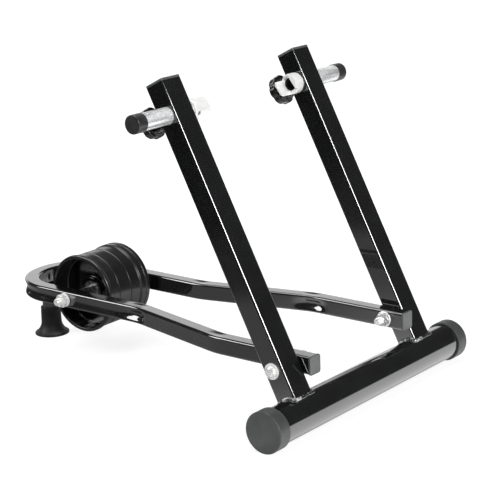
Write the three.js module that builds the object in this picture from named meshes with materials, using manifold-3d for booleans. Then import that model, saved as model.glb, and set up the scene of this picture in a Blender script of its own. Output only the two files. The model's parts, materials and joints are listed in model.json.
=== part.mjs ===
import * as THREE from "three";
import { mergeVertices } from "three/addons/utils/BufferGeometryUtils.js";
import Module from "manifold-3d";

// Folding wheel-on turbo trainer: a welded rear stand with two leaning uprights, two sliding
// axle clamps with locking knobs, and a U-shaped leg frame that carries the roller drum.
// Lengths in millimetres. X runs across the trainer, Y forward from the cross tube to the
// U-bend, Z up. The origin is on the floor under the middle of the whole trainer.

// Fits
const seatGap = 0.3;
const slideGap = 0.4;

// Cross tube and its slip-over caps
const crossCapFace = 203;
const crossTubeRadius = 22.9;
const crossTubeWall = 2;
const crossCapRadius = 25.6;
const crossCapLength = 18.7;
const crossCapEnd = 3;
const crossCapEdge = 1.6;

// Uprights
const uprightWidth = 34;
const uprightDepth = 28.4;
const uprightWall = 2;
const uprightCorner = 1.4;
const uprightHead = 42.8;
const uprightCapThick = 3.2;
const uprightPlugDepth = 14;
const uprightPlugWall = 1.8;
const uprightLean = THREE.MathUtils.degToRad(26.4);
const weldRadius = 3.4;

// Clamp tubes that slide across through the uprights
const clampReach = 383;
const clampTubeRadius = 10.65;
const clampTubeWall = 2.6;
const clampCapFace = 207;
const clampCapRadius = 11.5;
const clampCapLength = 15.5;
const clampCapEnd = 2;
const clampCapEdge = 0.9;

// Axle cups on the inner ends of the clamp tubes: a sleeve with a long and a short wing
const cupRadius = 13.5;
const cupBaseSetback = 3.6;
const cupLength = 27.2;
const cupEdge = 1;
const cupSleeveLength = 11.2;
const cupShortWing = 7;
const cupSlotHalf = 8.2;
const cupTurn = { left: THREE.MathUtils.degToRad(180), right: THREE.MathUtils.degToRad(-11) };
const grubRadius = 2.5;
const grubLength = 2.1;
const grubSocketRadius = 1.4;
const grubSocketDepth = 1.3;
const grubSetback = 6.2;
const grubTurn = { left: THREE.MathUtils.degToRad(-50), right: THREE.MathUtils.degToRad(45) };

// Locking knobs, their studs and the nuts welded to the uprights
const knobRadius = 18.9;
const knobLobeDepth = 1.5;
const knobThick = 11;
const knobStandoff = 22.6;
const knobRaise = 3.4;
const knobEdge = 1.4;
const knobHubRadius = 8.4;
const knobHubLength = 15;
const knobSocketDepth = 20;
const studRadius = 4;
const studTipChamfer = 0.8;
const clampNutAcross = 14;
const clampNutThick = 7;
const knobLobes = 7;

// Leg frame
const pivotForward = 28;
const pivotHeight = 78.2;
const drumForward = 433.9;
const drumLift = 5.4;
const legWidth = 19.8;
const legHeight = 22.2;
const legWall = 1.6;
const legCorner = 2.6;
const legRearOverhang = 26;
const legWideOuter = 109.8;
const legToUpright = 2;
const legNarrowOuter = 72.2;
const legRearBend = 145;
const legFrontBend = 305;
const legSideBendRadius = 90;
const bendForward = 479.4;
const legCapThick = 2.8;
const legCapLip = 0.6;
const legPlugDepth = 13;
const legPlugWall = 1.6;

// Pivot fasteners
const pivotBoltRadius = 5;
const pivotHeadRadius = 7;
const pivotHeadHeight = 4;
const pivotWasherRadius = 10;
const pivotWasherThick = 1.8;
const pivotSpacerRadius = 9;
const pivotNutFlangeRadius = 10.2;
const pivotNutFlangeThick = 2;
const pivotNutAcross = 15;
const pivotNutHeight = 8;
const pivotBoltTail = 17;

// Roller drum, its bearings and its axle
const drumHalfLength = 40.5;
const drumRimRadius = 53.5;
const drumBodyRadius = 51.6;
const drumGrooveRadius = 50.7;
const drumWall = 3.4;
const drumLip = 4;
const drumFlangeWidth = 16.5;
const drumWebThick = 5;
const drumHubRadius = 18;
const drumHubHalf = 21;
const bearingOuterRadius = 13;
const bearingWidth = 8;
const bearingSetback = 0.8;
const bearingSealInset = 0.7;
const axleRadius = 5;
const axleTail = 7.5;
const axleChamfer = 0.9;
const axleSpacerRadius = 7;
const axleWasherRadius = 9.2;
const axleWasherThick = 1.8;
const axleNutAcross = 16;
const axleNutHeight = 7.5;

// Front foot
const footForward = 536.4;
const footBrimRadius = 24.2;
const footBrimThick = 3;
const footFlareHeight = 13.5;
const footBodyRadius = 13.9;
const footBodyHeight = 40;
const footFloorThick = 10;
const footMouthEdge = 1.2;
const postRadius = 10.9;
const postWall = 1.8;
const postWeldRadius = 2.6;

// Facet counts
const drumSides = 48;
const roundSides = 36;
const smallSides = 22;
const boltSides = 16;
const bendSteps = 22;
const sideBendSteps = 3;
const beadSteps = 48;
const beadSides = 7;

// Shares of a length
const drumShares = { grooveOne: -0.46, grooveTwo: 0.1, grooveHalf: 0.035, flangeGroove: 0.8, web: -0.34 };
const hexShare = 1 / Math.sqrt(3);
const nutBevelShare = 0.8;
const capEdgeShare = 0.3;
const knobRimShare = 0.72;
const knobFaceShares = { hollow: 0.45, hub: 0.6 };
const lobeTroughShare = 0.9;
const boltHeadShares = [[0.45, 0.96], [0.85, 0.66], [1, 0.3]];
const postWeldBoreShare = 0.02;
const flareShares = [[1, 0], [0.78, 0.22], [0.42, 0.45], [0.16, 0.72], [0, 1]];

// Values worked out from the sizes above
const whole = Math.PI * 2;
const floorToCross = crossCapRadius;
const rearmost = -crossCapRadius;
const foremost = footForward + footBrimRadius;
const lengthMiddle = (rearmost + foremost) / 2;
const drumHeight = pivotHeight + drumLift;
const legRise = Math.atan2(drumLift, drumForward - pivotForward);
const legWideCentre = legWideOuter - legWidth / 2;
const legNarrowCentre = legNarrowOuter - legWidth / 2;
const uprightReach = clampReach + uprightHead;
const uprightCentre = legWideOuter + legToUpright + uprightWidth / 2;
const uprightInner = uprightCentre - uprightWidth / 2;
const uprightOuter = uprightCentre + uprightWidth / 2;

const wasm = await Module();
wasm.setup();

// Turns a closed geometry into a solid for cutting and joining
function solidOf(geometry) {
  const bare = geometry.clone();
  bare.deleteAttribute("normal");
  bare.deleteAttribute("uv");
  const joined = mergeVertices(bare);
  const mesh = new wasm.Mesh({
    numProp: 3,
    vertProperties: new Float32Array(joined.attributes.position.array),
    triVerts: new Uint32Array(joined.index.array),
  });
  mesh.merge();
  return new wasm.Manifold(mesh);
}

// Turns a solid back into a geometry
function geometryOf(solid) {
  const mesh = solid.getMesh();
  const geometry = new THREE.BufferGeometry();
  const points = new Float32Array((mesh.vertProperties.length / mesh.numProp) * 3);
  for (let i = 0; i < points.length / 3; i += 1) {
    points.set(mesh.vertProperties.subarray(i * mesh.numProp, i * mesh.numProp + 3), i * 3);
  }
  geometry.setAttribute("position", new THREE.BufferAttribute(points, 3));
  geometry.setIndex(new THREE.BufferAttribute(new Uint32Array(mesh.triVerts), 1));
  geometry.computeVertexNormals();
  return geometry;
}

function cut(geometry, ...tools) {
  return geometryOf(tools.reduce((solid, tool) => solid.subtract(solidOf(tool)), solidOf(geometry)));
}

function joined(geometry, ...others) {
  return geometryOf(others.reduce((solid, other) => solid.add(solidOf(other)), solidOf(geometry)));
}

// Keeps the largest of the bodies that a cut leaves
function largest(geometry) {
  const bodies = solidOf(geometry).decompose();
  return geometryOf(bodies.reduce((kept, body) => (body.volume() > kept.volume() ? body : kept)));
}

// A closed turned shape about the X axis, from pairs of place along X and radius
function turned(pairs, sides = roundSides) {
  const outline = pairs.map(([along, radius]) => new THREE.Vector2(radius, along));
  outline.push(outline[0].clone());
  return solidFacing(new THREE.LatheGeometry(outline, sides).rotateZ(-Math.PI / 2));
}

// A closed turned shape about the Z axis, from pairs of height and radius
function turnedUp(pairs, sides = roundSides) {
  return turned(pairs, sides).rotateY(-Math.PI / 2);
}

// Turns the faces of a closed geometry outward where they were drawn inward
function solidFacing(geometry) {
  const welded = mergeVertices(stripped(geometry));
  const p = welded.attributes.position;
  const index = welded.index.array;
  const a = new THREE.Vector3();
  const b = new THREE.Vector3();
  const c = new THREE.Vector3();
  const kept = [];
  let volume = 0;
  for (let i = 0; i < index.length; i += 3) {
    const [i0, i1, i2] = [index[i], index[i + 1], index[i + 2]];
    if (i0 === i1 || i1 === i2 || i2 === i0) {
      continue;
    }
    a.fromBufferAttribute(p, i0);
    b.fromBufferAttribute(p, i1);
    c.fromBufferAttribute(p, i2);
    volume += a.dot(b.cross(c));
    kept.push([i0, i1, i2]);
  }
  welded.setIndex(kept.flatMap(([i0, i1, i2]) => (volume < 0 ? [i0, i2, i1] : [i0, i1, i2])));
  welded.computeVertexNormals();
  return welded;
}

function stripped(geometry) {
  const bare = geometry.clone();
  bare.deleteAttribute("normal");
  bare.deleteAttribute("uv");
  return bare;
}

// A solid rod along X between two places
function rod(from, to, radius, sides = roundSides) {
  return turned([[from, 0], [from, radius], [to, radius], [to, 0]], sides);
}

// A rod along X with both ends bevelled
function bevelledRod(from, to, radius, bevel, sides = roundSides) {
  return turned([
    [from, 0], [from, radius - bevel], [from + bevel, radius],
    [to - bevel, radius], [to, radius - bevel], [to, 0],
  ], sides);
}

// A ring along X between two places
function ring(from, to, outer, inner, sides = roundSides) {
  return turned([[from, inner], [from, outer], [to, outer], [to, inner]], sides);
}

// A rectangle with rounded corners, as a flat outline
function roundedOutline(width, height, corner) {
  const x = width / 2 - corner;
  const y = height / 2 - corner;
  const shape = new THREE.Shape();
  if (corner === 0) {
    shape.moveTo(x, y);
    shape.lineTo(-x, y);
    shape.lineTo(-x, -y);
    shape.lineTo(x, -y);
    return shape;
  }
  shape.absarc(x, y, corner, 0, Math.PI / 2);
  shape.absarc(-x, y, corner, Math.PI / 2, Math.PI);
  shape.absarc(-x, -y, corner, Math.PI, Math.PI * 1.5);
  shape.absarc(x, -y, corner, Math.PI * 1.5, whole);
  return shape;
}

// An upright block on a rounded rectangle, between two heights
function block(width, depth, corner, from, to, curveSegments = 1) {
  const shape = roundedOutline(width, depth, corner);
  const options = { depth: to - from, bevelEnabled: false, curveSegments };
  return new THREE.ExtrudeGeometry(shape, options).translate(0, 0, from);
}

// A plain box between two corners
function boxBetween(low, high) {
  const size = high.map((value, i) => value - low[i]);
  const middle = high.map((value, i) => (value + low[i]) / 2);
  return new THREE.BoxGeometry(...size).translate(...middle);
}

// A hexagonal nut along X, bored through
function hexNut(from, to, across, bore) {
  const corner = across * hexShare;
  const body = rod(from, to, corner, 6);
  const corners = bevelledRod(from, to, corner, (corner - across / 2) * nutBevelShare, boltSides);
  const trimmed = geometryOf(solidOf(body).intersect(solidOf(corners)));
  const reach = to - from;
  return cut(trimmed, rod(from - reach, to + reach, bore, boltSides));
}

// Materials
const finishes = {
  gloss: { color: 0x0d0e0f, roughness: 0.22, metalness: 0.1 },
  cap: { color: 0x3b3b3d, roughness: 0.6, metalness: 0 },
  blackPlastic: { color: 0x151516, roughness: 0.42, metalness: 0 },
  drum: { color: 0x101112, roughness: 0.36, metalness: 0 },
  rubber: { color: 0x141414, roughness: 0.85, metalness: 0 },
  galvanised: { color: 0xb9bcbe, roughness: 0.45, metalness: 0.9 },
  zinc: { color: 0xd6d7d6, roughness: 0.3, metalness: 0.9 },
  weld: { color: 0x17181a, roughness: 0.4, metalness: 0.2 },
  steel: { color: 0x8c8e90, roughness: 0.35, metalness: 0.9 },
};

const trainer = new THREE.Group();
trainer.name = "wheel_on_turbo_trainer";

// Adds one piece, moved so that the origin lies under the middle of the trainer
function addPiece(name, geometry, finish) {
  const placed = geometry.clone().translate(0, -lengthMiddle, 0);
  const piece = new THREE.Mesh(placed, new THREE.MeshStandardMaterial(finishes[finish]));
  piece.name = name;
  trainer.add(piece);
}

// Mirrors a geometry made for the right side onto the left side
function onSide(geometry, side) {
  return side > 0 ? geometry.clone() : solidFacing(stripped(geometry).scale(-1, 1, 1));
}

// Stands a geometry made along Z about the cross tube's axis up along the leaning uprights
function leaned(geometry) {
  return geometry.rotateX(-uprightLean).translate(0, 0, floorToCross);
}

// Lays a geometry made level about the pivot's axis along the leg frame
function legLaid(geometry) {
  return geometry.rotateX(legRise).translate(0, pivotForward, pivotHeight);
}

const sides = [["left", -1], ["right", 1]];

// Cross tube and its caps
const crossTubeEnd = crossCapFace - crossCapEnd - seatGap;
const crossInner = crossTubeRadius - crossTubeWall;
const crossTube = ring(-crossTubeEnd, crossTubeEnd, crossTubeRadius, crossInner);
addPiece("cross_tube", crossTube.translate(0, 0, floorToCross), "gloss");
const crossCapMouth = crossCapFace - crossCapLength;
const crossCapBore = crossTubeRadius + seatGap;
const crossCap = turned([
  [crossCapMouth, crossCapBore], [crossCapMouth, crossCapRadius],
  [crossCapFace - crossCapEdge, crossCapRadius],
  [crossCapFace - crossCapEdge * capEdgeShare, crossCapRadius - crossCapEdge * capEdgeShare],
  [crossCapFace, crossCapRadius - crossCapEdge], [crossCapFace, 0],
  [crossCapFace - crossCapEnd, 0], [crossCapFace - crossCapEnd, crossCapBore],
]).translate(0, 0, floorToCross);

// Upright: a rectangular tube, coped at its foot and bored for the clamp tube, the stud and the pivot
const uprightTop = uprightReach - uprightCapThick - seatGap;
const pivotUp = (pivotHeight - floorToCross) * Math.cos(uprightLean) + pivotForward * Math.sin(uprightLean);
const pivotOut = pivotForward * Math.cos(uprightLean) - (pivotHeight - floorToCross) * Math.sin(uprightLean);
const studBore = rod(0, uprightDepth, studRadius + slideGap, boltSides).rotateZ(Math.PI / 2);
const uprightBody = cut(
  block(uprightWidth, uprightDepth, uprightCorner, 0, uprightTop),
  block(uprightWidth - 2 * uprightWall, uprightDepth - 2 * uprightWall, 0, -uprightReach, 2 * uprightReach),
  rod(-uprightWidth, uprightWidth, crossTubeRadius + seatGap),
  rod(-uprightWidth, uprightWidth, clampTubeRadius + slideGap).translate(0, 0, clampReach),
  rod(-uprightWidth, uprightWidth, pivotBoltRadius + seatGap, boltSides).translate(0, pivotOut, pivotUp),
  studBore.translate(0, 0, clampReach + knobRaise),
);

// Upright cap: a flange over the tube's end with a hollow plug inside it
const plugWidth = uprightWidth - 2 * uprightWall - 2 * seatGap;
const plugDepth = uprightDepth - 2 * uprightWall - 2 * seatGap;
const plugFoot = uprightReach - uprightCapThick - uprightPlugDepth;
const plugHollow = [plugWidth - 2 * uprightPlugWall, plugDepth - 2 * uprightPlugWall];
const uprightCap = cut(
  joined(
    block(uprightWidth, uprightDepth, uprightCorner, uprightReach - uprightCapThick, uprightReach),
    block(plugWidth, plugDepth, 0, plugFoot, uprightReach - uprightCapThick / 2),
  ),
  block(...plugHollow, 0, 0, uprightReach - uprightCapThick),
);

// Weld bead: a rope of metal around the upright's foot on the cross tube
const beadPoints = roundedOutline(uprightWidth, uprightDepth, uprightCorner).getPoints(2).map((point) => {
  const up = Math.sqrt(crossTubeRadius ** 2 - point.y ** 2);
  return new THREE.Vector3(point.x, point.y, up);
});
const beadPath = new THREE.CatmullRomCurve3(beadPoints.slice(0, -1), true, "centripetal");
const weldBead = largest(cut(
  solidFacing(new THREE.TubeGeometry(beadPath, beadSteps, weldRadius, beadSides, true)),
  block(uprightWidth + 2 * seatGap, uprightDepth + 2 * seatGap, uprightCorner, 0, uprightReach),
  rod(-uprightWidth, uprightWidth, crossTubeRadius + seatGap),
));

for (const [name, side] of sides) {
  addPiece(`cross_tube_cap_${name}`, onSide(crossCap, side), "cap");
  const shift = side * uprightCentre;
  addPiece(`upright_${name}`, leaned(uprightBody.clone()).translate(shift, 0, 0), "gloss");
  addPiece(`upright_cap_${name}`, leaned(uprightCap.clone()).translate(shift, 0, 0), "cap");
  addPiece(`weld_bead_${name}`, leaned(weldBead.clone()).translate(shift, 0, 0), "weld");
}

// Clamp tube and its cap
const cupBase = uprightInner - cupBaseSetback;
const clampTubeEnd = clampCapFace - clampCapEnd - seatGap;
const clampInner = clampTubeRadius - clampTubeWall;
const clampCapBore = clampTubeRadius + seatGap;
const clampCapMouth = clampCapFace - clampCapLength;
const clampCap = turned([
  [clampCapMouth, clampCapBore], [clampCapMouth, clampCapRadius],
  [clampCapFace - clampCapEdge, clampCapRadius],
  [clampCapFace, clampCapRadius - clampCapEdge], [clampCapFace, 0],
  [clampCapFace - clampCapEnd, 0], [clampCapFace - clampCapEnd, clampCapBore],
], smallSides);

// Axle cup: a sleeve on the tube's end, slotted right across so that a long wing and a
// short wing stand on either side of the tube's open bore
const cupFace = cupBase - cupLength;
const cupShoulder = cupBase - cupSleeveLength;

// Turns what points down from the cup's axis round to where the grub screw sits
function atGrub(geometry, name) {
  return geometry.rotateY(Math.PI / 2).rotateX(grubTurn[name]).translate(cupBase - grubSetback, 0, 0);
}

const grubBore = () => rod(0, cupRadius * 2, grubRadius + seatGap, boltSides);

function axleCup(name) {
  const cup = cut(
    bevelledRod(cupFace, cupBase, cupRadius, cupEdge),
    rod(cupShoulder - cupLength, cupBase + cupLength, clampTubeRadius + seatGap),
    boxBetween([cupFace - cupLength, -cupSlotHalf, -cupLength], [cupShoulder, cupSlotHalf, cupLength]),
    boxBetween([cupFace - cupLength, -cupLength, -cupLength], [cupShoulder - cupShortWing, 0, cupLength]),
  );
  return cut(cup.rotateX(cupTurn[name]), atGrub(grubBore(), name));
}

// Grub screw that holds the cup on its tube
function grubScrew(name) {
  const outer = cupRadius - grubSocketDepth / 4;
  const screw = cut(
    bevelledRod(outer - grubLength, outer, grubRadius, studTipChamfer / 2, smallSides),
    rod(outer - grubSocketDepth, outer + grubSocketDepth, grubSocketRadius, 6),
  );
  return atGrub(screw, name);
}

const clampTube = ring(cupShoulder, clampTubeEnd, clampTubeRadius, clampInner);

// Locking knob, built along X from the upright's front face and then turned forward
const knobBase = uprightDepth / 2 + knobStandoff;
const lobeOutline = (share) => {
  const shape = new THREE.Shape();
  const count = knobLobes * 8;
  for (let i = 0; i < count; i += 1) {
    const angle = (i / count) * whole;
    const wave = Math.cos(angle * knobLobes);
    const lift = wave > 0 ? wave : wave * lobeTroughShare;
    const radius = (knobRadius - knobLobeDepth + knobLobeDepth * lift) * share;
    const [x, y] = [radius * Math.cos(angle), radius * Math.sin(angle)];
    if (i === 0) {
      shape.moveTo(x, y);
    } else {
      shape.lineTo(x, y);
    }
  }
  shape.closePath();
  return shape;
};
const lobeBody = new THREE.ExtrudeGeometry(lobeOutline((knobRadius - knobEdge) / knobRadius), {
  depth: knobThick - 2 * knobEdge,
  bevelThickness: knobEdge,
  bevelSize: knobEdge,
  bevelSegments: 2,
  curveSegments: 1,
}).translate(0, 0, knobEdge).rotateY(Math.PI / 2).translate(knobBase, 0, 0);
const knobFoot = knobBase - knobHubLength;
const knobHollow = ring(
  knobBase - knobThick,
  knobBase + knobThick * knobFaceShares.hollow,
  knobRadius * knobRimShare,
  knobHubRadius,
  smallSides,
);
const lockKnob = cut(
  joined(
    geometryOf(solidOf(lobeBody).subtract(solidOf(knobHollow))),
    bevelledRod(knobFoot, knobBase + knobThick * knobFaceShares.hub, knobHubRadius, knobEdge / 2, smallSides),
  ),
  rod(knobFoot - knobHubLength, knobFoot + knobSocketDepth, studRadius + seatGap, boltSides),
);
const studTip = clampTubeRadius + slideGap;
const studHead = knobFoot + knobSocketDepth - seatGap;
const lockStud = bevelledRod(studTip, studHead, studRadius, studTipChamfer, boltSides);
const nutFoot = uprightDepth / 2 + seatGap;
const clampNut = hexNut(nutFoot, nutFoot + clampNutThick, clampNutAcross, studRadius + seatGap);

for (const [name, side] of sides) {
  const atClamp = (geometry) => leaned(onSide(geometry, side).translate(0, 0, clampReach));
  addPiece(`clamp_tube_${name}`, atClamp(clampTube), "galvanised");
  addPiece(`clamp_tube_cap_${name}`, atClamp(clampCap), "blackPlastic");
  addPiece(`axle_cup_${name}`, atClamp(axleCup(name)), "zinc");
  addPiece(`cup_grub_screw_${name}`, atClamp(grubScrew(name)), "steel");
  const onFront = (geometry) => {
    const forward = geometry.clone().rotateZ(Math.PI / 2);
    return leaned(forward.translate(side * uprightCentre, 0, clampReach + knobRaise));
  };
  addPiece(`lock_knob_${name}`, onFront(lockKnob), "blackPlastic");
  addPiece(`lock_stud_${name}`, onFront(lockStud), "steel");
  addPiece(`clamp_nut_${name}`, onFront(clampNut), "gloss");
}

// Path of the leg frame, level and measured from the pivot's axis
class LegPath extends THREE.Curve {
  constructor(stations) {
    super();
    this.stations = stations;
  }

  getSpacedPoints() {
    return this.stations.map((station) => station.point.clone());
  }

  getTangentAt(share, target = new THREE.Vector3()) {
    const last = this.stations.length - 1;
    return target.copy(this.stations[Math.round(share * last)].heading);
  }
}

function legStations() {
  const half = [];
  const add = (x, y, heading) => half.push({ x, y, heading });
  const bendFromPivot = bendForward - pivotForward;
  const rearBend = legRearBend - pivotForward;
  const frontBend = legFrontBend - pivotForward;
  const slant = Math.atan2(legWideCentre - legNarrowCentre, frontBend - rearBend);
  const trim = legSideBendRadius * Math.tan(slant / 2);
  add(legWideCentre, -legRearOverhang, 0);
  add(legWideCentre, 0, 0);
  for (let i = 0; i <= sideBendSteps; i += 1) {
    const turn = (slant * i) / sideBendSteps;
    const x = legWideCentre - legSideBendRadius * (1 - Math.cos(turn));
    add(x, rearBend - trim + legSideBendRadius * Math.sin(turn), turn);
  }
  for (let i = 0; i <= sideBendSteps; i += 1) {
    const turn = slant * (1 - i / sideBendSteps);
    const x = legNarrowCentre + legSideBendRadius * (1 - Math.cos(turn));
    add(x, frontBend + trim - legSideBendRadius * Math.sin(turn), turn);
  }
  add(legNarrowCentre, drumForward - pivotForward, 0);
  for (let i = 0; i < bendSteps / 2; i += 1) {
    const turn = (Math.PI * i) / bendSteps;
    add(legNarrowCentre * Math.cos(turn), bendFromPivot + legNarrowCentre * Math.sin(turn), turn);
  }
  const right = half.map(({ x, y, heading }) => ({
    point: new THREE.Vector3(x, y, 0),
    heading: new THREE.Vector3(-Math.sin(heading), Math.cos(heading), 0),
  }));
  const left = half.map(({ x, y, heading }) => ({
    point: new THREE.Vector3(-x, y, 0),
    heading: new THREE.Vector3(-Math.sin(heading), -Math.cos(heading), 0),
  })).reverse();
  const front = {
    point: new THREE.Vector3(0, bendFromPivot + legNarrowCentre, 0),
    heading: new THREE.Vector3(-1, 0, 0),
  };
  return [...right, front, ...left];
}

const stations = legStations();
function legSweep(height, width, corner) {
  const extrudePath = new LegPath(stations);
  const options = { steps: stations.length - 1, extrudePath, curveSegments: 1, bevelEnabled: false };
  return solidFacing(new THREE.ExtrudeGeometry(roundedOutline(height, width, corner), options));
}

const legReach = legWideOuter * 2;
const drumFromPivot = Math.hypot(drumForward - pivotForward, drumLift);
const legInside = legSweep(legHeight - 2 * legWall, legWidth - 2 * legWall, 0);
const endWidth = legWidth - 2 * legWall;
const endHeight = legHeight - 2 * legWall;
const legMouth = (side) => {
  const mouth = block(endWidth, endHeight, 0, 0, legRearOverhang);
  return mouth.rotateX(Math.PI / 2).translate(side * legWideCentre, -legRearOverhang / 2, 0);
};
const legFrame = cut(
  legSweep(legHeight, legWidth, legCorner),
  joined(legInside, legMouth(1), legMouth(-1)),
  rod(-legReach, legReach, pivotBoltRadius + seatGap, boltSides),
  rod(-legReach, legReach, axleRadius + seatGap, boltSides).translate(0, drumFromPivot, 0),
);
addPiece("leg_frame", legLaid(legFrame), "gloss");

// Leg caps: a flange with a hollow plug
const capWidth = legWidth + 2 * legCapLip;
const capHeight = legHeight + 2 * legCapLip;
const legPlugWidth = endWidth - 2 * seatGap;
const legPlugHeight = endHeight - 2 * seatGap;
const backward = (geometry) => geometry.rotateX(Math.PI / 2).translate(legWideCentre, -legRearOverhang, 0);
const legCap = cut(
  joined(
    backward(block(capWidth, capHeight, legCorner, seatGap, seatGap + legCapThick)),
    backward(block(legPlugWidth, legPlugHeight, 0, -legPlugDepth, seatGap + legCapThick / 2)),
  ),
  backward(block(legPlugWidth - 2 * legPlugWall, legPlugHeight - 2 * legPlugWall, 0, -2 * legPlugDepth, 0)),
);

// Pivot bolt from outside the upright, through the leg, to the flange nut inside it
const headFoot = uprightOuter + seatGap + pivotWasherThick + seatGap;
const pivotInnerFace = legWideOuter - legWidth;
const nutFace = pivotInnerFace - seatGap;
const pivotBolt = turned([
  [pivotInnerFace - pivotBoltTail, 0], [pivotInnerFace - pivotBoltTail, pivotBoltRadius - studTipChamfer],
  [pivotInnerFace - pivotBoltTail + studTipChamfer, pivotBoltRadius], [headFoot, pivotBoltRadius],
  [headFoot, pivotHeadRadius],
  ...boltHeadShares.map(([up, out]) => [headFoot + pivotHeadHeight * up, pivotHeadRadius * out]),
  [headFoot + pivotHeadHeight, 0],
], smallSides);
const pivotWasher = ring(
  uprightOuter + seatGap,
  uprightOuter + seatGap + pivotWasherThick,
  pivotWasherRadius,
  pivotBoltRadius + seatGap,
  smallSides,
);
const pivotSpacer = ring(
  legWideOuter + seatGap,
  uprightInner - seatGap,
  pivotSpacerRadius,
  pivotBoltRadius + seatGap,
  smallSides,
);
const pivotBore = pivotBoltRadius + seatGap;
const flangeEdge = nutFace - pivotNutFlangeThick / 2;
const flangeFoot = nutFace - pivotNutFlangeThick;
const flangeNut = joined(
  hexNut(nutFace - pivotNutHeight, flangeEdge, pivotNutAcross, pivotBore),
  turned([
    [flangeFoot, pivotBore], [flangeFoot, pivotNutAcross / 2],
    [flangeEdge, pivotNutFlangeRadius], [nutFace, pivotNutFlangeRadius],
    [nutFace, pivotBore],
  ], boltSides),
);

for (const [name, side] of sides) {
  addPiece(`leg_cap_${name}`, legLaid(onSide(legCap, side)), "cap");
  const atPivot = (geometry) => onSide(geometry, side).translate(0, pivotForward, pivotHeight);
  addPiece(`pivot_bolt_${name}`, atPivot(pivotBolt), "zinc");
  addPiece(`pivot_washer_${name}`, atPivot(pivotWasher), "zinc");
  addPiece(`pivot_spacer_${name}`, atPivot(pivotSpacer), "blackPlastic");
  addPiece(`pivot_flange_nut_${name}`, atPivot(flangeNut), "zinc");
}

// Roller drum: one turned shell with rims, a web and a bored hub
const atDrum = (geometry) => geometry.translate(0, drumForward, drumHeight);
const half = drumHalfLength;
const drumInner = drumBodyRadius - drumWall;
const groove = (share) => {
  const middle = share * half;
  const reach = drumShares.grooveHalf * half;
  return [
    [middle - reach, drumBodyRadius], [middle - reach / 2, drumGrooveRadius],
    [middle + reach / 2, drumGrooveRadius], [middle + reach, drumBodyRadius],
  ];
};
const flangeStart = half - drumFlangeWidth;
const step = drumRimRadius - drumBodyRadius;
const flangeGroove = half * drumShares.flangeGroove;
const webMiddle = half * drumShares.web;
const hubBore = bearingOuterRadius + seatGap;
const bearingOuterFace = drumHubHalf - bearingSetback;
const bearingInnerFace = bearingOuterFace - bearingWidth;
const hubShoulder = bearingOuterRadius - step;
const drum = turned([
  [-half, drumInner], [-half, drumRimRadius - step / 2], [-half + step / 2, drumRimRadius],
  [-half + drumLip, drumRimRadius], [-half + drumLip + step, drumBodyRadius],
  ...groove(drumShares.grooveOne), ...groove(drumShares.grooveTwo),
  [flangeStart - step, drumBodyRadius], [flangeStart, drumRimRadius],
  [flangeGroove - step, drumRimRadius], [flangeGroove, drumRimRadius - step / 2],
  [flangeGroove + step, drumRimRadius],
  [half - step / 2, drumRimRadius], [half, drumRimRadius - step / 2], [half, drumInner],
  [webMiddle + drumWebThick / 2, drumInner], [webMiddle + drumWebThick / 2, drumHubRadius],
  [drumHubHalf, drumHubRadius], [drumHubHalf, hubBore], [bearingInnerFace - seatGap, hubBore],
  [bearingInnerFace - seatGap, hubShoulder], [-bearingInnerFace + seatGap, hubShoulder],
  [-bearingInnerFace + seatGap, hubBore], [-drumHubHalf, hubBore], [-drumHubHalf, drumHubRadius],
  [webMiddle - drumWebThick / 2, drumHubRadius], [webMiddle - drumWebThick / 2, drumInner],
], drumSides);
addPiece("roller_drum", atDrum(drum), "drum");

// Axle with its bearings, spacers, washers and nuts
const legInnerAtDrum = legNarrowOuter - legWidth;
const axleBore = axleRadius + seatGap;
const washerEnd = legNarrowOuter + seatGap + axleWasherThick;
const axleNutEnd = washerEnd + seatGap + axleNutHeight;
const axleEnd = axleNutEnd + axleTail;
addPiece("roller_axle", atDrum(bevelledRod(-axleEnd, axleEnd, axleRadius, axleChamfer, boltSides)), "zinc");
const innerRaceRadius = axleSpacerRadius + bearingSealInset;
const outerRaceRadius = bearingOuterRadius - 2 * bearingSealInset;
const innerSeal = bearingInnerFace + bearingSealInset;
const outerSeal = bearingOuterFace - bearingSealInset;
const bearing = turned([
  [bearingInnerFace, axleBore], [bearingInnerFace, innerRaceRadius],
  [innerSeal, innerRaceRadius], [innerSeal, outerRaceRadius],
  [bearingInnerFace, outerRaceRadius], [bearingInnerFace, bearingOuterRadius],
  [bearingOuterFace, bearingOuterRadius], [bearingOuterFace, outerRaceRadius],
  [outerSeal, outerRaceRadius], [outerSeal, innerRaceRadius],
  [bearingOuterFace, innerRaceRadius], [bearingOuterFace, axleBore],
], smallSides);
const innerSpacerEnd = bearingInnerFace - seatGap;
const bearingSpacer = ring(-innerSpacerEnd, innerSpacerEnd, axleSpacerRadius, axleBore, smallSides);
addPiece("bearing_spacer", atDrum(bearingSpacer), "steel");
const axleSpacerEnd = legInnerAtDrum - seatGap;
const axleSpacer = ring(bearingOuterFace + seatGap, axleSpacerEnd, axleSpacerRadius, axleBore, smallSides);
const axleWasher = ring(legNarrowOuter + seatGap, washerEnd, axleWasherRadius, axleBore, smallSides);
const axleNut = hexNut(washerEnd + seatGap, axleNutEnd, axleNutAcross, axleBore);
for (const [name, side] of sides) {
  addPiece(`bearing_${name}`, atDrum(onSide(bearing, side)), "steel");
  addPiece(`axle_spacer_${name}`, atDrum(onSide(axleSpacer, side)), "steel");
  addPiece(`axle_washer_${name}`, atDrum(onSide(axleWasher, side)), "zinc");
  addPiece(`axle_nut_${name}`, atDrum(onSide(axleNut, side)), "zinc");
}

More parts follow.
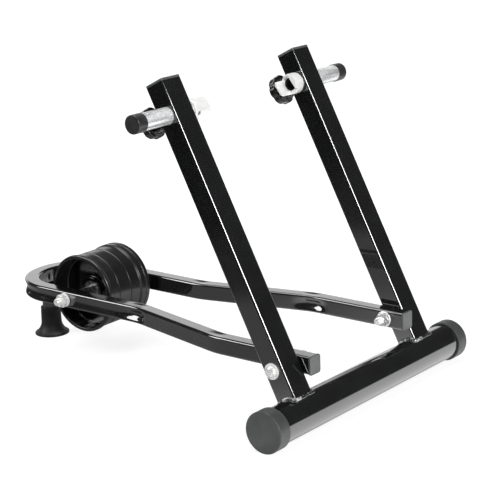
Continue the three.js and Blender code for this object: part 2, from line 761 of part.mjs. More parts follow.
// Front foot: a post under the U-bend with a push-on rubber foot
const legMiddleAtPost = drumHeight + (footForward - postRadius - drumForward) * Math.tan(legRise);
const legUnderside = legMiddleAtPost - legHeight / 2 / Math.cos(legRise);
const postTop = legUnderside - seatGap;
const postFoot = footFloorThick + seatGap;
const post = turnedUp([
  [postFoot, postRadius - postWall], [postFoot, postRadius],
  [postTop, postRadius], [postTop, postRadius - postWall],
], smallSides);
const postWeldBore = postRadius + postWeldBoreShare * postWeldRadius;
const postWeld = turnedUp([
  [postTop - postWeldRadius, postWeldBore], [postTop - postWeldRadius / 2, postRadius + postWeldRadius / 2],
  [postTop, postRadius + postWeldRadius], [postTop, postWeldBore],
], smallSides);
const footFlare = flareShares.map(([out, up]) => [
  footBrimThick + up * (footFlareHeight - footBrimThick),
  footBodyRadius + out * (footBrimRadius - footBodyRadius),
]);
const foot = turnedUp([
  [0, 0], [0, footBrimRadius - footMouthEdge], [footMouthEdge, footBrimRadius], ...footFlare,
  [footBodyHeight - footMouthEdge, footBodyRadius], [footBodyHeight, footBodyRadius - footMouthEdge],
  [footBodyHeight, postRadius + seatGap], [footFloorThick, postRadius + seatGap], [footFloorThick, 0],
]);
addPiece("foot_post", post.translate(0, footForward, 0), "gloss");
addPiece("foot_post_weld", postWeld.translate(0, footForward, 0), "weld");
addPiece("foot_pad", foot.translate(0, footForward, 0), "rubber");

export default trainer;
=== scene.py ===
import json
import math

import bmesh
import bpy
import numpy as np
from mathutils import Matrix, Vector

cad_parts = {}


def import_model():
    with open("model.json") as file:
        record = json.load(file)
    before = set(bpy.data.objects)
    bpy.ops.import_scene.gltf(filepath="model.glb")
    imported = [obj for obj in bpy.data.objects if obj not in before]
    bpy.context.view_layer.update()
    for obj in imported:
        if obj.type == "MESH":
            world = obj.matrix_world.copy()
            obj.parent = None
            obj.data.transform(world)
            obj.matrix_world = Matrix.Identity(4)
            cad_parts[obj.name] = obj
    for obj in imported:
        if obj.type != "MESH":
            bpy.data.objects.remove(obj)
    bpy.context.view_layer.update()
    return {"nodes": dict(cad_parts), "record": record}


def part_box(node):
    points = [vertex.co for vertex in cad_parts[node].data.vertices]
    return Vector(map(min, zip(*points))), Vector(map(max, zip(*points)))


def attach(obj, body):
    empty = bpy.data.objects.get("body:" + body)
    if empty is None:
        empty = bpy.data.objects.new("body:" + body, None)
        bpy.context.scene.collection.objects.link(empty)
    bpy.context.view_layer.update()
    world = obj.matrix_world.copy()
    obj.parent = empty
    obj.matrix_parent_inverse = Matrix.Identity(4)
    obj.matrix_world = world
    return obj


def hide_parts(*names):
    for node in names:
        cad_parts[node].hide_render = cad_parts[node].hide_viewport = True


# Looks of the folding wheel-on turbo trainer. Lengths are in metres, in the frame's own axes:
# X across the trainer, Y forward from the cross tube to the U-bend, Z up.

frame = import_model()
nodes = frame["nodes"]


def middle(node):
    low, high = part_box(node)
    return (low + high) / 2


def size(node):
    low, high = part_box(node)
    return high - low


# Axes that the pieces are built about, taken from the frame
CROSS_AXIS = middle("cross_tube")
PIVOT_AXIS = middle("pivot_spacer_right")
DRUM_AXIS = middle("roller_drum")
FOOT_AXIS = middle("foot_pad")
PIVOT_AXIS.x = 0
FOOT_AXIS.z = 0

# Clearances between pieces, and how finely round shapes are divided
GAP = 0.0003
SLIDE_GAP = 0.0004
CROSS_SIDES = 128
ROUND_SIDES = 96
SMALL_SIDES = 72
THREAD_SIDES = 48
WELD_SIDES = 12
CORNER_STEPS = 6

# Rear stand
CROSS_RADIUS = size("cross_tube").z / 2
CROSS_END = size("cross_tube").x / 2
CROSS_CAP_RADIUS = size("cross_tube_cap_right").z / 2
CROSS_CAP_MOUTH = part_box("cross_tube_cap_right")[0].x
CROSS_CAP_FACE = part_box("cross_tube_cap_right")[1].x
CROSS_CAP_THICK = 0.003
TUBE_WALL = 0.002
UPRIGHT_CENTRE = middle("upright_right").x
UPRIGHT_WIDTH = size("upright_right").x
UPRIGHT_DEPTH = 0.0284
UPRIGHT_CORNER = 0.0026
UPRIGHT_REACH = 0.4258
UPRIGHT_LEAN = math.radians(26.4)
UPRIGHT_CAP_THICK = 0.0032
UPRIGHT_PLUG_LENGTH = 0.0108
WELD_RADIUS = 0.0034
WELD_RIPPLE = 0.0032
WELD_OFFSET = 0.0006
WELD_SEAT = CROSS_RADIUS + 0.0004

# Clamps, measured from the middle of the trainer
CLAMP_REACH = 0.383
CLAMP_RADIUS = 0.01065
CLAMP_WALL = 0.0026
CLAMP_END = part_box("clamp_tube_right")[1].x
CLAMP_CAP_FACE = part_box("clamp_tube_cap_right")[1].x
CLAMP_CAP_RADIUS = 0.0115
CLAMP_CAP_LENGTH = 0.0155
CLAMP_CAP_THICK = 0.002
CUP_RADIUS = 0.0135
CUP_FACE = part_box("axle_cup_right")[0].x
CUP_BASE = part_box("axle_cup_right")[1].x
CUP_SHOULDER = CUP_BASE - 0.0112
CUP_SHORT_WING = 0.007
CUP_SLOT_HALF = 0.0082
CUP_FLAT = {"left": 0.0126, "right": 0.0106}
CUP_TURN = {"left": math.pi, "right": math.radians(-11)}
GRUB_RADIUS = 0.0025
GRUB_LENGTH = 0.0021
GRUB_SOCKET_RADIUS = 0.0014
GRUB_SOCKET_DEPTH = 0.0013
GRUB_SETBACK = 0.0062
GRUB_TURN = {"left": math.radians(-50), "right": math.radians(45)}

# Locking knobs, measured forward from the uprights' middle
KNOB_RADIUS = 0.0195
KNOB_LOBES = 7
KNOB_LOBE_DEPTH = 0.0014
KNOB_SIDES = 168
KNOB_BACK = 0.0368
KNOB_THICK = 0.011
KNOB_CROWN = 0.0008
KNOB_BACK_EDGE = 0.0012
KNOB_FRONT_EDGE = 0.0026
KNOB_HUB_RADIUS = 0.0084
KNOB_HUB_LENGTH = 0.015
KNOB_BORE_DEPTH = 0.02
KNOB_RAISE = 0.0034
STUD_RADIUS = 0.004
CLAMP_NUT_ACROSS = 0.014
CLAMP_NUT_HEIGHT = 0.007

# Leg frame, measured from the pivots' axis
LEG_WIDTH = 0.0198
LEG_HEIGHT = 0.0222
LEG_CORNER = 0.0028
LEG_OVERHANG = 0.026
LEG_WIDE = 0.0999
LEG_NARROW = 0.0623
LEG_REAR_BEND = 0.117
LEG_FRONT_BEND = 0.277
LEG_BEND_RADIUS = 0.09
LEG_BEND_STEPS = 14
LEG_CAP_LIP = 0.0006
LEG_CAP_THICK = 0.0028
LEG_PLUG_LENGTH = 0.013
LEG_PLUG_INSET = 0.0016
U_BEND_START = 0.4514
U_BEND_STEPS = 40
LEG_RISE = math.atan2(DRUM_AXIS.z - PIVOT_AXIS.z, DRUM_AXIS.y - PIVOT_AXIS.y)
DRUM_REACH = (DRUM_AXIS - PIVOT_AXIS).length

# Dents that bending leaves in the walls of a leg: the depth, and then how far from the pivot the
# dent starts, is at its deepest, begins to fade and is gone
OUTER_FRONT_DENT = (0.0044, 0.258, 0.268, 0.276, 0.318)
INNER_REAR_DENT = (0.0042, 0.088, 0.106, 0.124, 0.146)
TOP_REAR_DENT = (0.0005, 0.100, 0.117, 0.117, 0.140)
TOP_FRONT_DENT = (0.0006, 0.262, 0.277, 0.277, 0.300)
U_BEND_DENT = 0.0026
U_BEND_WRINKLE = 0.0009
FRONT_FLAT_DENT = 0.0008

# Fasteners
PIVOT_BOLT_RADIUS = 0.005
PIVOT_HEAD_HEIGHT = 0.004
FLANGE_NUT_ACROSS = 0.015
FLANGE_RADIUS = 0.0102
FLANGE_THICK = 0.001
AXLE_RADIUS = 0.005
AXLE_NUT_ACROSS = 0.016
WASHER_EDGE = 0.0004
THREAD_PITCH = 0.00125
THREAD_DEPTH = 0.00055
THREAD_BEVEL = 0.0009

# Roller drum
DRUM_SIDES = 192
DRUM_HALF = size("roller_drum").x / 2
DRUM_RIM = size("roller_drum").z / 2
DRUM_BODY = 0.0516
DRUM_INNER = 0.0482
DRUM_FLANGE_START = DRUM_HALF - 0.0165
DRUM_WEB = -0.34 * DRUM_HALF
DRUM_WEB_HALF = 0.0025
HUB_RADIUS = 0.018
HUB_HALF = 0.021
BEARING_RADIUS = 0.0133
BEARING_SHOULDER = 0.0111
BEARING_POCKET = 0.0119

# Front foot
POST_RADIUS = size("foot_post").x / 2
POST_WALL = 0.0018
POST_WELD_RADIUS = 0.0011
POST_WELD_POINTS = 120
PAD_RADIUS = size("foot_pad").x / 2
PAD_HEIGHT = size("foot_pad").z
PAD_NECK = 0.0139
PAD_FLOOR = 0.010

# Places that the shapes, built about the X or the Z axis, are moved to
FORWARD = Matrix.Rotation(math.pi / 2, 4, "Z")
MIRRORED = Matrix.Scale(-1, 4, Vector((1, 0, 0)))
leaning = Matrix.Translation(CROSS_AXIS) @ Matrix.Rotation(-UPRIGHT_LEAN, 4, "X")
along_legs = Matrix.Translation(PIVOT_AXIS) @ Matrix.Rotation(LEG_RISE, 4, "X")
at_drum = Matrix.Translation(DRUM_AXIS)
at_foot = Matrix.Translation(FOOT_AXIS) @ Matrix.Rotation(-math.pi / 2, 4, "Y")
SIDES = (("left", -1), ("right", 1))


def on_side(side):
    return MIRRORED if side < 0 else Matrix.Identity(4)


# Shapes: each is a list of points and a list of faces

def skin(rings, looped=False, capped=True):
    """A surface over rings of points, either closed into a loop or with a face at each end."""
    count = len(rings[0])
    points = [tuple(point) for ring in rings for point in ring]
    faces = []
    spans = len(rings) if looped else len(rings) - 1
    for first in range(spans):
        second = (first + 1) % len(rings)
        for i in range(count):
            j = (i + 1) % count
            corners = (first * count + i, first * count + j, second * count + j, second * count + i)
            faces.append(corners)
    if capped and not looped:
        last = (len(rings) - 1) * count
        faces.append(tuple(range(count)))
        faces.append(tuple(range(last, last + count)))
    return points, faces


def ring_of(along, sides, radius_at):
    """Points around the X axis, at a radius that depends on the turn."""
    points = []
    for i in range(sides):
        turn = 2 * math.pi * i / sides
        radius = radius_at(turn)
        points.append((along, radius * math.cos(turn), radius * math.sin(turn)))
    return points


def circle(along, radius, sides=ROUND_SIDES):
    return ring_of(along, sides, lambda turn: radius)


def toward(here, other, reach):
    """A point on the way from a corner to its neighbour, at most halfway."""
    way = np.array(other[:2], float) - here
    length = np.linalg.norm(way)
    return here + way / length * min(reach, length / 2)


def eased(outline, steps=5):
    """Rounds the corners of an outline that carry a third number, the reach of the rounding."""
    result = []
    for i, corner in enumerate(outline):
        here = np.array(corner[:2], float)
        if len(corner) == 2:
            result.append(tuple(here))
            continue
        start = toward(here, outline[i - 1], corner[2])
        end = toward(here, outline[(i + 1) % len(outline)], corner[2])
        for step in range(steps + 1):
            t = step / steps
            result.append(tuple((1 - t) ** 2 * start + 2 * t * (1 - t) * here + t ** 2 * end))
    return result


def turned(outline, sides=ROUND_SIDES, looped=False, steps=5):
    """A shape turned about the X axis, from places along X and radii."""
    rings = [circle(along, radius, sides) for along, radius in eased(outline, steps)]
    return skin(rings, looped, capped=False)


def rod(start, end, radius, sides=SMALL_SIDES):
    return turned([(start, 0), (start, radius), (end, radius), (end, 0)], sides)


def rounded_rectangle(width, height, corner, side_steps=1):
    """Points around a rectangle with round corners; side_steps divides its straight sides."""
    points = []
    quarters = ((1, 1), (-1, 1), (-1, -1), (1, -1))
    for quarter, (right, up) in enumerate(quarters):
        for step in range(CORNER_STEPS + 1):
            turn = math.pi / 2 * (quarter + step / CORNER_STEPS)
            x = right * (width / 2 - corner) + corner * math.cos(turn)
            y = up * (height / 2 - corner) + corner * math.sin(turn)
            points.append((x, y))
    result = []
    for i, point in enumerate(points):
        result.append(point)
        if i % (CORNER_STEPS + 1) == CORNER_STEPS:
            following = points[(i + 1) % len(points)]
            for step in range(1, side_steps):
                t = step / side_steps
                result.append(tuple(a + (b - a) * t for a, b in zip(point, following)))
    return result


def slab(width, depth, corner, levels):
    """A block on a rounded rectangle, from levels of height and inset."""
    rings = []
    for height, inset in levels:
        eased_corner = max(corner - inset, corner / 8)
        outline = rounded_rectangle(width - 2 * inset, depth - 2 * inset, eased_corner)
        rings.append([(x, y, height) for x, y in outline])
    return skin(rings)


def quarter_round(easing, steps):
    """Steps around a rounded edge: how far below its top face and how far inside its side."""
    turns = [math.pi / 2 * step / steps for step in range(steps + 1)]
    return [(easing * (1 - math.sin(turn)), easing * (1 - math.cos(turn))) for turn in turns]


def edge_levels(low, high, easing):
    """Levels of a slab whose lower and upper edges are rounded."""
    edge = quarter_round(easing, 4)
    lower = [(low + height, inset) for height, inset in edge[::-1]]
    return lower + [(high - height, inset) for height, inset in edge]


def cut(shape, *tools):
    """Cuts the tools out of a shape."""
    holders = [in_scene("holder", mesh_of("holder", piece)) for piece in (shape, *tools)]
    body = holders[0]
    for tool in holders[1:]:
        modifier = body.modifiers.new("cut", "BOOLEAN")
        modifier.operation = "DIFFERENCE"
        modifier.solver = "EXACT"
        modifier.object = tool
    bpy.context.view_layer.update()
    depsgraph = bpy.context.evaluated_depsgraph_get()
    mesh = body.evaluated_get(depsgraph).to_mesh()
    points = [tuple(vertex.co) for vertex in mesh.vertices]
    faces = [tuple(face.vertices) for face in mesh.polygons]
    for holder in holders:
        bpy.data.objects.remove(holder)
    return points, faces


def placed(shape, place):
    points, faces = shape
    return [tuple(place @ Vector(point)) for point in points], faces


def together(*shapes):
    points, faces = [], []
    for some_points, some_faces in shapes:
        faces += [tuple(i + len(points) for i in face) for face in some_faces]
        points += some_points
    return points, faces


def box_between(low, high):
    ends = list(zip(low, high))
    corners = [(x, y, z) for z in (0, 1) for x, y in ((0, 0), (1, 0), (1, 1), (0, 1))]
    points = [tuple(pair[pick] for pair, pick in zip(ends, corner)) for corner in corners]
    faces = [(3, 2, 1, 0), (4, 5, 6, 7), (0, 1, 5, 4), (1, 2, 6, 5), (2, 3, 7, 6), (3, 0, 4, 7)]
    return points, faces


def hexagon_ring(along, reach, limit):
    """A hexagon whose corners are cut back to a circle where they pass the limit."""
    def radius_at(turn):
        return min(reach / math.cos(turn % (math.pi / 3) - math.pi / 6), limit)

    return ring_of(along, SMALL_SIDES, radius_at)


def hexagonal(start, end, across, bore):
    """A nut along X with its corners bevelled off at both ends."""
    reach = across / 2
    lowest = reach * 0.96
    bevel = (reach / math.cos(math.pi / 6) - lowest) * math.tan(math.pi / 6)
    depths = [bevel * share for share in (0, 0.3, 0.6, 0.85, 1)]
    levels = [(depth, lowest + depth / math.tan(math.pi / 6)) for depth in depths]
    rings = [circle(start, bore, SMALL_SIDES)]
    rings += [hexagon_ring(start + depth, reach, limit) for depth, limit in levels]
    rings += [hexagon_ring(end - depth, reach, limit) for depth, limit in levels[::-1]]
    rings += [circle(end, bore, SMALL_SIDES)]
    return skin(rings, looped=True)


def thread_ring(along, radius, depth):
    def radius_at(turn):
        phase = 2 * math.pi * along / THREAD_PITCH - turn
        return radius - depth * (0.5 - 0.5 * math.cos(phase))

    return ring_of(along, THREAD_SIDES, radius_at)


def threaded(start, end, radius, bare=(0, 0)):
    """A threaded rod along X, plain between the two bare places."""
    step = THREAD_PITCH / 8
    length = end - start - 2 * THREAD_BEVEL
    count = int(length / step)
    tip = radius - THREAD_BEVEL
    rings = [circle(start, 0, THREAD_SIDES), thread_ring(start, tip, THREAD_DEPTH)]
    for i in range(count + 1):
        along = start + THREAD_BEVEL + length * i / count
        if bare[0] < along - step and along + step < bare[1]:
            continue
        plain = bare[0] < along < bare[1]
        rings.append(thread_ring(along, radius, 0 if plain else THREAD_DEPTH))
    rings += [thread_ring(end, tip, THREAD_DEPTH), circle(end, 0, THREAD_SIDES)]
    return skin(rings, capped=False)


def running_mean(values):
    """Each value of a closed loop averaged with two neighbours on either side."""
    count = len(values)
    return [np.mean([values[(i + k) % count] for k in range(-2, 3)]) for i in range(count)]


def rope(path, radii):
    """A closed rope of varying thickness around the Z axis."""
    rings = []
    for i, point in enumerate(path):
        heading = (Vector(path[(i + 1) % len(path)]) - Vector(path[i - 1])).normalized()
        out = Vector((point[0], point[1], 0)).normalized()
        out = (out - heading * out.dot(heading)).normalized()
        up = heading.cross(out)
        ring = []
        for k in range(WELD_SIDES):
            turn = 2 * math.pi * k / WELD_SIDES
            ring.append(Vector(point) + (out * math.cos(turn) + up * math.sin(turn)) * radii[i])
        rings.append(ring)
    return skin(rings, looped=True)


def in_scene(name, data):
    holder = bpy.data.objects.new(name, data)
    bpy.context.scene.collection.objects.link(holder)
    return holder


def mesh_of(name, shape, place=None):
    points, faces = shape
    mesh = bpy.data.meshes.new(name)
    mesh.from_pydata(points, [], faces)
    if place is not None:
        mesh.transform(place)
    build = bmesh.new()
    build.from_mesh(mesh)
    bmesh.ops.remove_doubles(build, verts=build.verts, dist=1e-6)
    bmesh.ops.recalc_face_normals(build, faces=build.faces)
    build.to_mesh(mesh)
    build.free()
    return mesh


def show(node, shape, body, slot, place=None, bevel=0, sharp=38, finish=None):
    """Puts a piece in the scene in place of its node, in its slot's finish or the one named."""
    mesh = mesh_of(node + "_look", shape, place)
    piece = in_scene(node + "_look", mesh)
    mesh.materials.append(finishes[finish or slot])
    mesh.shade_smooth()
    mesh.set_sharp_from_angle(angle=math.radians(sharp))
    if bevel:
        rounding = piece.modifiers.new("rounding", "BEVEL")
        rounding.width = bevel
        rounding.segments = 3
        rounding.limit_method = "ANGLE"
        rounding.angle_limit = math.radians(sharp)
    shading = piece.modifiers.new("shading", "WEIGHTED_NORMAL")
    shading.keep_sharp = True
    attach(piece, body)
    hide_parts(node)


# Materials

# Where most of a noise texture's values lie
NOISE_MIDDLE = (0.35, 0.65)


def grey(level):
    return level, level, level, 1


class Wiring:
    """Short ways to add and join the nodes of a material or a world."""

    def __init__(self, tree):
        self.tree = tree

    def link(self, source, target):
        self.tree.links.new(source, target)

    def put(self, value, socket):
        """Links another node's output to a socket, or sets a plain value on it."""
        if isinstance(value, bpy.types.NodeSocket):
            self.link(value, socket)
        else:
            socket.default_value = value

    def add(self, kind, *values, **named):
        """A new node, with what its first inputs and its named inputs take."""
        node = self.tree.nodes.new(kind)
        for value, socket in zip(values, node.inputs):
            self.put(value, socket)
        for name, value in named.items():
            self.put(value, node.inputs[name.replace("_", " ")])
        return node

    def maths(self, operation, first, second):
        node = self.add("ShaderNodeMath", first, second)
        node.operation = operation
        return node.outputs["Value"]

    def vectors(self, operation, *values):
        node = self.add("ShaderNodeVectorMath", *values)
        node.operation = operation
        return node.outputs

    def dot(self, vector, direction):
        return self.vectors("DOT_PRODUCT", vector, direction)["Value"]

    def length(self, vector):
        return self.vectors("LENGTH", vector)["Value"]

    def ramp(self, source, start, end, low=0, high=1, easing="LINEAR"):
        """Turns a value from start to end into one from low to high."""
        node = self.add("ShaderNodeMapRange", source, start, end, low, high)
        node.interpolation_type = easing
        return node.outputs["Result"]

    def softly(self, source, start, end, low, high):
        return self.ramp(source, start, end, low, high, "SMOOTHSTEP")

    def mixed(self, factor, first, second):
        """A mix of two colours, each an output or three numbers."""
        node = self.add("ShaderNodeMix", factor)
        node.data_type = "RGBA"
        sockets = [socket for socket in node.inputs if socket.type == "RGBA"]
        for socket, colour in zip(sockets, (first, second)):
            self.put((*colour, 1) if isinstance(colour, tuple) else colour, socket)
        return [socket for socket in node.outputs if socket.type == "RGBA"][0]

    def mixed_value(self, factor, first, second):
        return self.add("ShaderNodeMix", factor, A=first, B=second).outputs["Result"]

    def diffuse(self, colour):
        return self.add("ShaderNodeBsdfDiffuse", colour).outputs["BSDF"]

    def glow(self, colour, strength):
        return self.add("ShaderNodeEmission", colour, strength).outputs["Emission"]

    def added_shaders(self, first, second):
        return self.add("ShaderNodeAddShader", first, second).outputs["Shader"]

    def mixed_shaders(self, factor, first, second):
        return self.add("ShaderNodeMixShader", factor, first, second).outputs["Shader"]


class Finish(Wiring):
    """A procedural material: mottled colour, uneven roughness and a fine bump."""

    def __init__(self, name, **values):
        self.name = name
        self.material = bpy.data.materials.new(name + "_finish")
        self.material.use_nodes = True
        super().__init__(self.material.node_tree)
        self.shader = self.tree.nodes["Principled BSDF"]
        for socket, value in values.items():
            self.shader.inputs[socket.replace("_", " ")].default_value = value
        self.coordinates = self.add("ShaderNodeTexCoord").outputs["Object"]

    def noise(self, scale, detail, stretch=None):
        place = self.coordinates
        if stretch:
            place = self.add("ShaderNodeMapping", place, Scale=stretch).outputs["Vector"]
        return self.add("ShaderNodeTexNoise", place, Scale=scale, Detail=detail).outputs["Fac"]

    def cells(self, scale):
        node = self.add("ShaderNodeTexVoronoi", self.coordinates, Scale=scale)
        return self.add("ShaderNodeSeparateColor", node.outputs["Color"]).outputs["Red"]

    def from_axis(self, centre):
        """How far a point is from a line through the centre, along X."""
        offset = self.vectors("SUBTRACT", self.coordinates, centre)["Vector"]
        return self.length(self.vectors("MULTIPLY", offset, (0, 1, 1))["Vector"])

    def across_uprights(self):
        """How far a point is along X, counted alike on both uprights."""
        parts = self.add("ShaderNodeSeparateXYZ", self.coordinates)
        return self.maths("FLOORED_MODULO", parts.outputs["X"], 2 * UPRIGHT_CENTRE)

    def mottled(self, scale, dark, light, detail=4):
        return self.mixed(self.ramp(self.noise(scale, detail), *NOISE_MIDDLE), dark, light)

    def uneven(self, scale, low, high):
        return self.ramp(self.noise(scale, 4), *NOISE_MIDDLE, low, high)

    def colour(self, source):
        self.link(source, self.shader.inputs["Base Color"])

    def rough(self, source):
        self.link(source, self.shader.inputs["Roughness"])

    def metal(self, source):
        self.link(source, self.shader.inputs["Metallic"])

    def bump(self, scale, detail, height, strength, stretch=None):
        grain = self.noise(scale, detail, stretch)
        node = self.add("ShaderNodeBump", Strength=strength, Distance=height, Height=grain)
        self.link(node.outputs["Normal"], self.shader.inputs["Normal"])


def gloss_paint():
    finish = Finish("gloss_black_paint", Coat_Weight=1.0, Coat_Roughness=0.04, Coat_IOR=2.0)
    tone = finish.mottled(25, (0.0035, 0.0038, 0.004), (0.0065, 0.007, 0.0075), detail=3)
    dust = finish.ramp(finish.noise(400, 5), 0.62, 0.8)
    finish.colour(finish.mixed(dust, tone, (0.011, 0.011, 0.011)))
    finish.rough(finish.uneven(60, 0.11, 0.19))
    finish.bump(90, 2, 0.000004, 0.1)
    return finish


def weld_paint():
    """Black paint with silver patches on the left side of each upright's bead."""
    finish = Finish("painted_weld", Coat_Weight=1.0, Coat_Roughness=0.12, Coat_IOR=2.0)
    black = (0.008, 0.008, 0.0085)
    patches = finish.mixed(finish.ramp(finish.noise(260, 4), 0.5, 0.58), black, (0.5, 0.5, 0.51))
    corner = UPRIGHT_CENTRE - UPRIGHT_WIDTH / 2
    beyond = finish.ramp(finish.across_uprights(), corner + 0.010, corner + 0.014)
    finish.colour(finish.mixed(beyond, patches, black))
    finish.rough(finish.uneven(300, 0.12, 0.3))
    finish.bump(700, 5, 0.0003, 0.8)
    return finish


def cap_plastic():
    finish = Finish("grey_cap_plastic", IOR=1.6)
    finish.colour(finish.mottled(70, (0.036, 0.038, 0.038), (0.048, 0.05, 0.05)))
    finish.rough(finish.uneven(200, 0.4, 0.5))
    finish.bump(1600, 3, 0.00006, 0.7)
    return finish


# A lighter copy of the grey cap plastic for the upright and leg caps: painted light, standing in for
# the extra light those caps catch.
def lit_cap_plastic_copy():
    finish = Finish("lit_copy_cap_plastic", IOR=1.6)
    finish.colour(finish.mottled(70, (0.066, 0.069, 0.069), (0.088, 0.091, 0.091)))
    finish.rough(finish.uneven(200, 0.3, 0.42))
    finish.bump(1600, 3, 0.00005, 0.6)
    return finish


# A lighter, rougher copy of the black plastic for the clamp tube caps: its lighter colour is painted
# light, standing in for reflections on the cap's face.
def soft_lit_plastic():
    finish = Finish("soft_lit_black_plastic", IOR=1.7)
    finish.colour(finish.mottled(90, (0.017, 0.017, 0.0175), (0.026, 0.026, 0.0265)))
    finish.rough(finish.uneven(200, 0.3, 0.42))
    finish.bump(1200, 3, 0.00004, 0.5)
    return finish


def black_plastic():
    finish = Finish("black_plastic", Coat_Weight=0.6, Coat_Roughness=0.1, Coat_IOR=1.7)
    finish.colour(finish.mottled(90, (0.006, 0.006, 0.0065), (0.013, 0.013, 0.0135)))
    finish.rough(finish.uneven(250, 0.16, 0.28))
    finish.bump(500, 4, 0.00004, 0.4)
    return finish


def drum_paint():
    """Satin paint outside, and a smoother hollow with painted shade: a darker colour inside the
    shell.
    """
    finish = Finish("satin_black_drum", Coat_Weight=0.5, Coat_Roughness=0.18, Coat_IOR=1.7)
    # Painted shade: inside the shell's inner radius the colour drops to near black.
    outside = finish.ramp(finish.from_axis(DRUM_AXIS), DRUM_INNER + 0.0002, DRUM_INNER + 0.001)
    tone = finish.mottled(40, (0.005, 0.005, 0.0053), (0.010, 0.010, 0.0105))
    finish.colour(finish.mixed(outside, (0.002, 0.002, 0.0021), tone))
    finish.rough(finish.mixed_value(outside, 0.12, finish.uneven(120, 0.3, 0.4)))
    finish.bump(300, 2, 0.000006, 0.2, (3.0, 1.0, 1.0))
    return finish


def galvanised():
    """Spangled and streaked zinc, with painted shade inside the bore: a dark grey there."""
    finish = Finish("galvanised_steel", Metallic=0.45)
    spangle = finish.cells(330)
    tone = finish.mixed(spangle, (0.9, 0.91, 0.92), (0.96, 0.965, 0.97))
    streak = finish.ramp(finish.noise(210, 3, (0.05, 1.0, 1.0)), 0.46, 0.6)
    plated = finish.mixed(streak, tone, (0.5, 0.51, 0.52))
    # Painted shade: the tube's bore gets a dark grey instead of the zinc tone.
    bore = CLAMP_RADIUS - CLAMP_WALL
    outward = finish.from_axis(leaning @ Vector((0, 0, CLAMP_REACH)))
    outside = finish.ramp(outward, bore, bore + CLAMP_WALL / 2)
    finish.colour(finish.mixed(outside, (0.08, 0.079, 0.077), plated))
    finish.rough(finish.ramp(spangle, 0, 1, 0.2, 0.36))
    finish.bump(500, 4, 0.0001, 0.6)
    return finish


def bright_zinc():
    finish = Finish("bright_zinc", Metallic=0.3)
    finish.colour(finish.mottled(120, (0.88, 0.88, 0.87), (0.95, 0.95, 0.94)))
    finish.rough(finish.uneven(200, 0.28, 0.4))
    finish.bump(700, 3, 0.00002, 0.4)
    return finish


def fastener_zinc():
    finish = Finish("fastener_zinc", Metallic=0.5)
    finish.colour(finish.mottled(180, (0.88, 0.88, 0.87), (0.95, 0.95, 0.94)))
    finish.rough(finish.uneven(260, 0.22, 0.32))
    finish.bump(900, 3, 0.00001, 0.4)
    return finish


def nut_zinc_painted_shade():
    """Bright zinc on the flange, and painted shade on the hexagon: a darker, more metallic zinc
    there.
    """
    finish = Finish("nut_zinc_painted_shade")
    flange = finish.ramp(finish.from_axis(PIVOT_AXIS), 0.0086, 0.0092)
    tone = finish.mottled(120, (0.88, 0.88, 0.87), (0.95, 0.95, 0.94))
    # Painted shade: the hexagon's zinc is darker than the flange's.
    finish.colour(finish.mixed(flange, (0.62, 0.62, 0.62), tone))
    finish.metal(finish.ramp(flange, 0, 1, 0.75, 0.3))
    finish.rough(finish.uneven(200, 0.24, 0.36))
    finish.bump(700, 3, 0.00002, 0.4)
    return finish


def plain_steel():
    finish = Finish("plain_steel", Metallic=1.0)
    finish.colour(finish.mottled(200, (0.3, 0.3, 0.31), (0.48, 0.48, 0.49)))
    finish.rough(finish.uneven(300, 0.25, 0.42))
    finish.bump(1000, 3, 0.00005, 0.6)
    return finish


def rubber():
    finish = Finish("black_rubber")
    finish.colour(finish.mottled(80, (0.006, 0.006, 0.006), (0.013, 0.013, 0.013)))
    finish.rough(finish.uneven(160, 0.42, 0.62))
    finish.bump(1100, 4, 0.00015, 0.7)
    return finish


all_finishes = (
    gloss_paint(), weld_paint(), cap_plastic(), lit_cap_plastic_copy(), soft_lit_plastic(), black_plastic(),
    drum_paint(), galvanised(), bright_zinc(), fastener_zinc(), nut_zinc_painted_shade(), plain_steel(), rubber(),
)
finishes = {finish.name: finish.material for finish in all_finishes}

# The bearings and their spacer stay as CAD nodes, so the nodes get the finishes too
for subpart in frame["record"]["subparts"]:
    for slot in nodes[subpart["node"]].material_slots:
        slot.material = finishes[subpart["material_slot"]]


# Rear stand

def upright_place(side):
    return leaning @ Matrix.Translation((side * UPRIGHT_CENTRE, 0, 0))


def cross_tube():
    inner = CROSS_RADIUS - TUBE_WALL
    outline = [
        (-CROSS_END, inner), (-CROSS_END, CROSS_RADIUS, 0.0005),
        (CROSS_END, CROSS_RADIUS, 0.0005), (CROSS_END, inner),
    ]
    shape = turned(outline, CROSS_SIDES, looped=True)
    show("cross_tube", shape, "stand", "gloss_black_paint", Matrix.Translation(CROSS_AXIS))


def cross_tube_cap(name, side):
    """A slip-over cap with a slightly sunk disc on its face."""
    bore = CROSS_RADIUS + GAP
    inside = CROSS_CAP_FACE - CROSS_CAP_THICK
    sunk = CROSS_CAP_FACE - 0.0002
    outline = [
        (CROSS_CAP_MOUTH, bore), (CROSS_CAP_MOUTH, CROSS_CAP_RADIUS, 0.0008),
        (CROSS_CAP_FACE, CROSS_CAP_RADIUS, 0.0013), (CROSS_CAP_FACE, 0.0235, 0.0004),
        (sunk, 0.023, 0.0004), (sunk, 0), (inside, 0), (inside, bore),
    ]
    place = Matrix.Translation(CROSS_AXIS) @ on_side(side)
    shape = turned(outline, CROSS_SIDES, looped=True)
    show(f"cross_tube_cap_{name}", shape, "stand", "grey_cap_plastic", place)


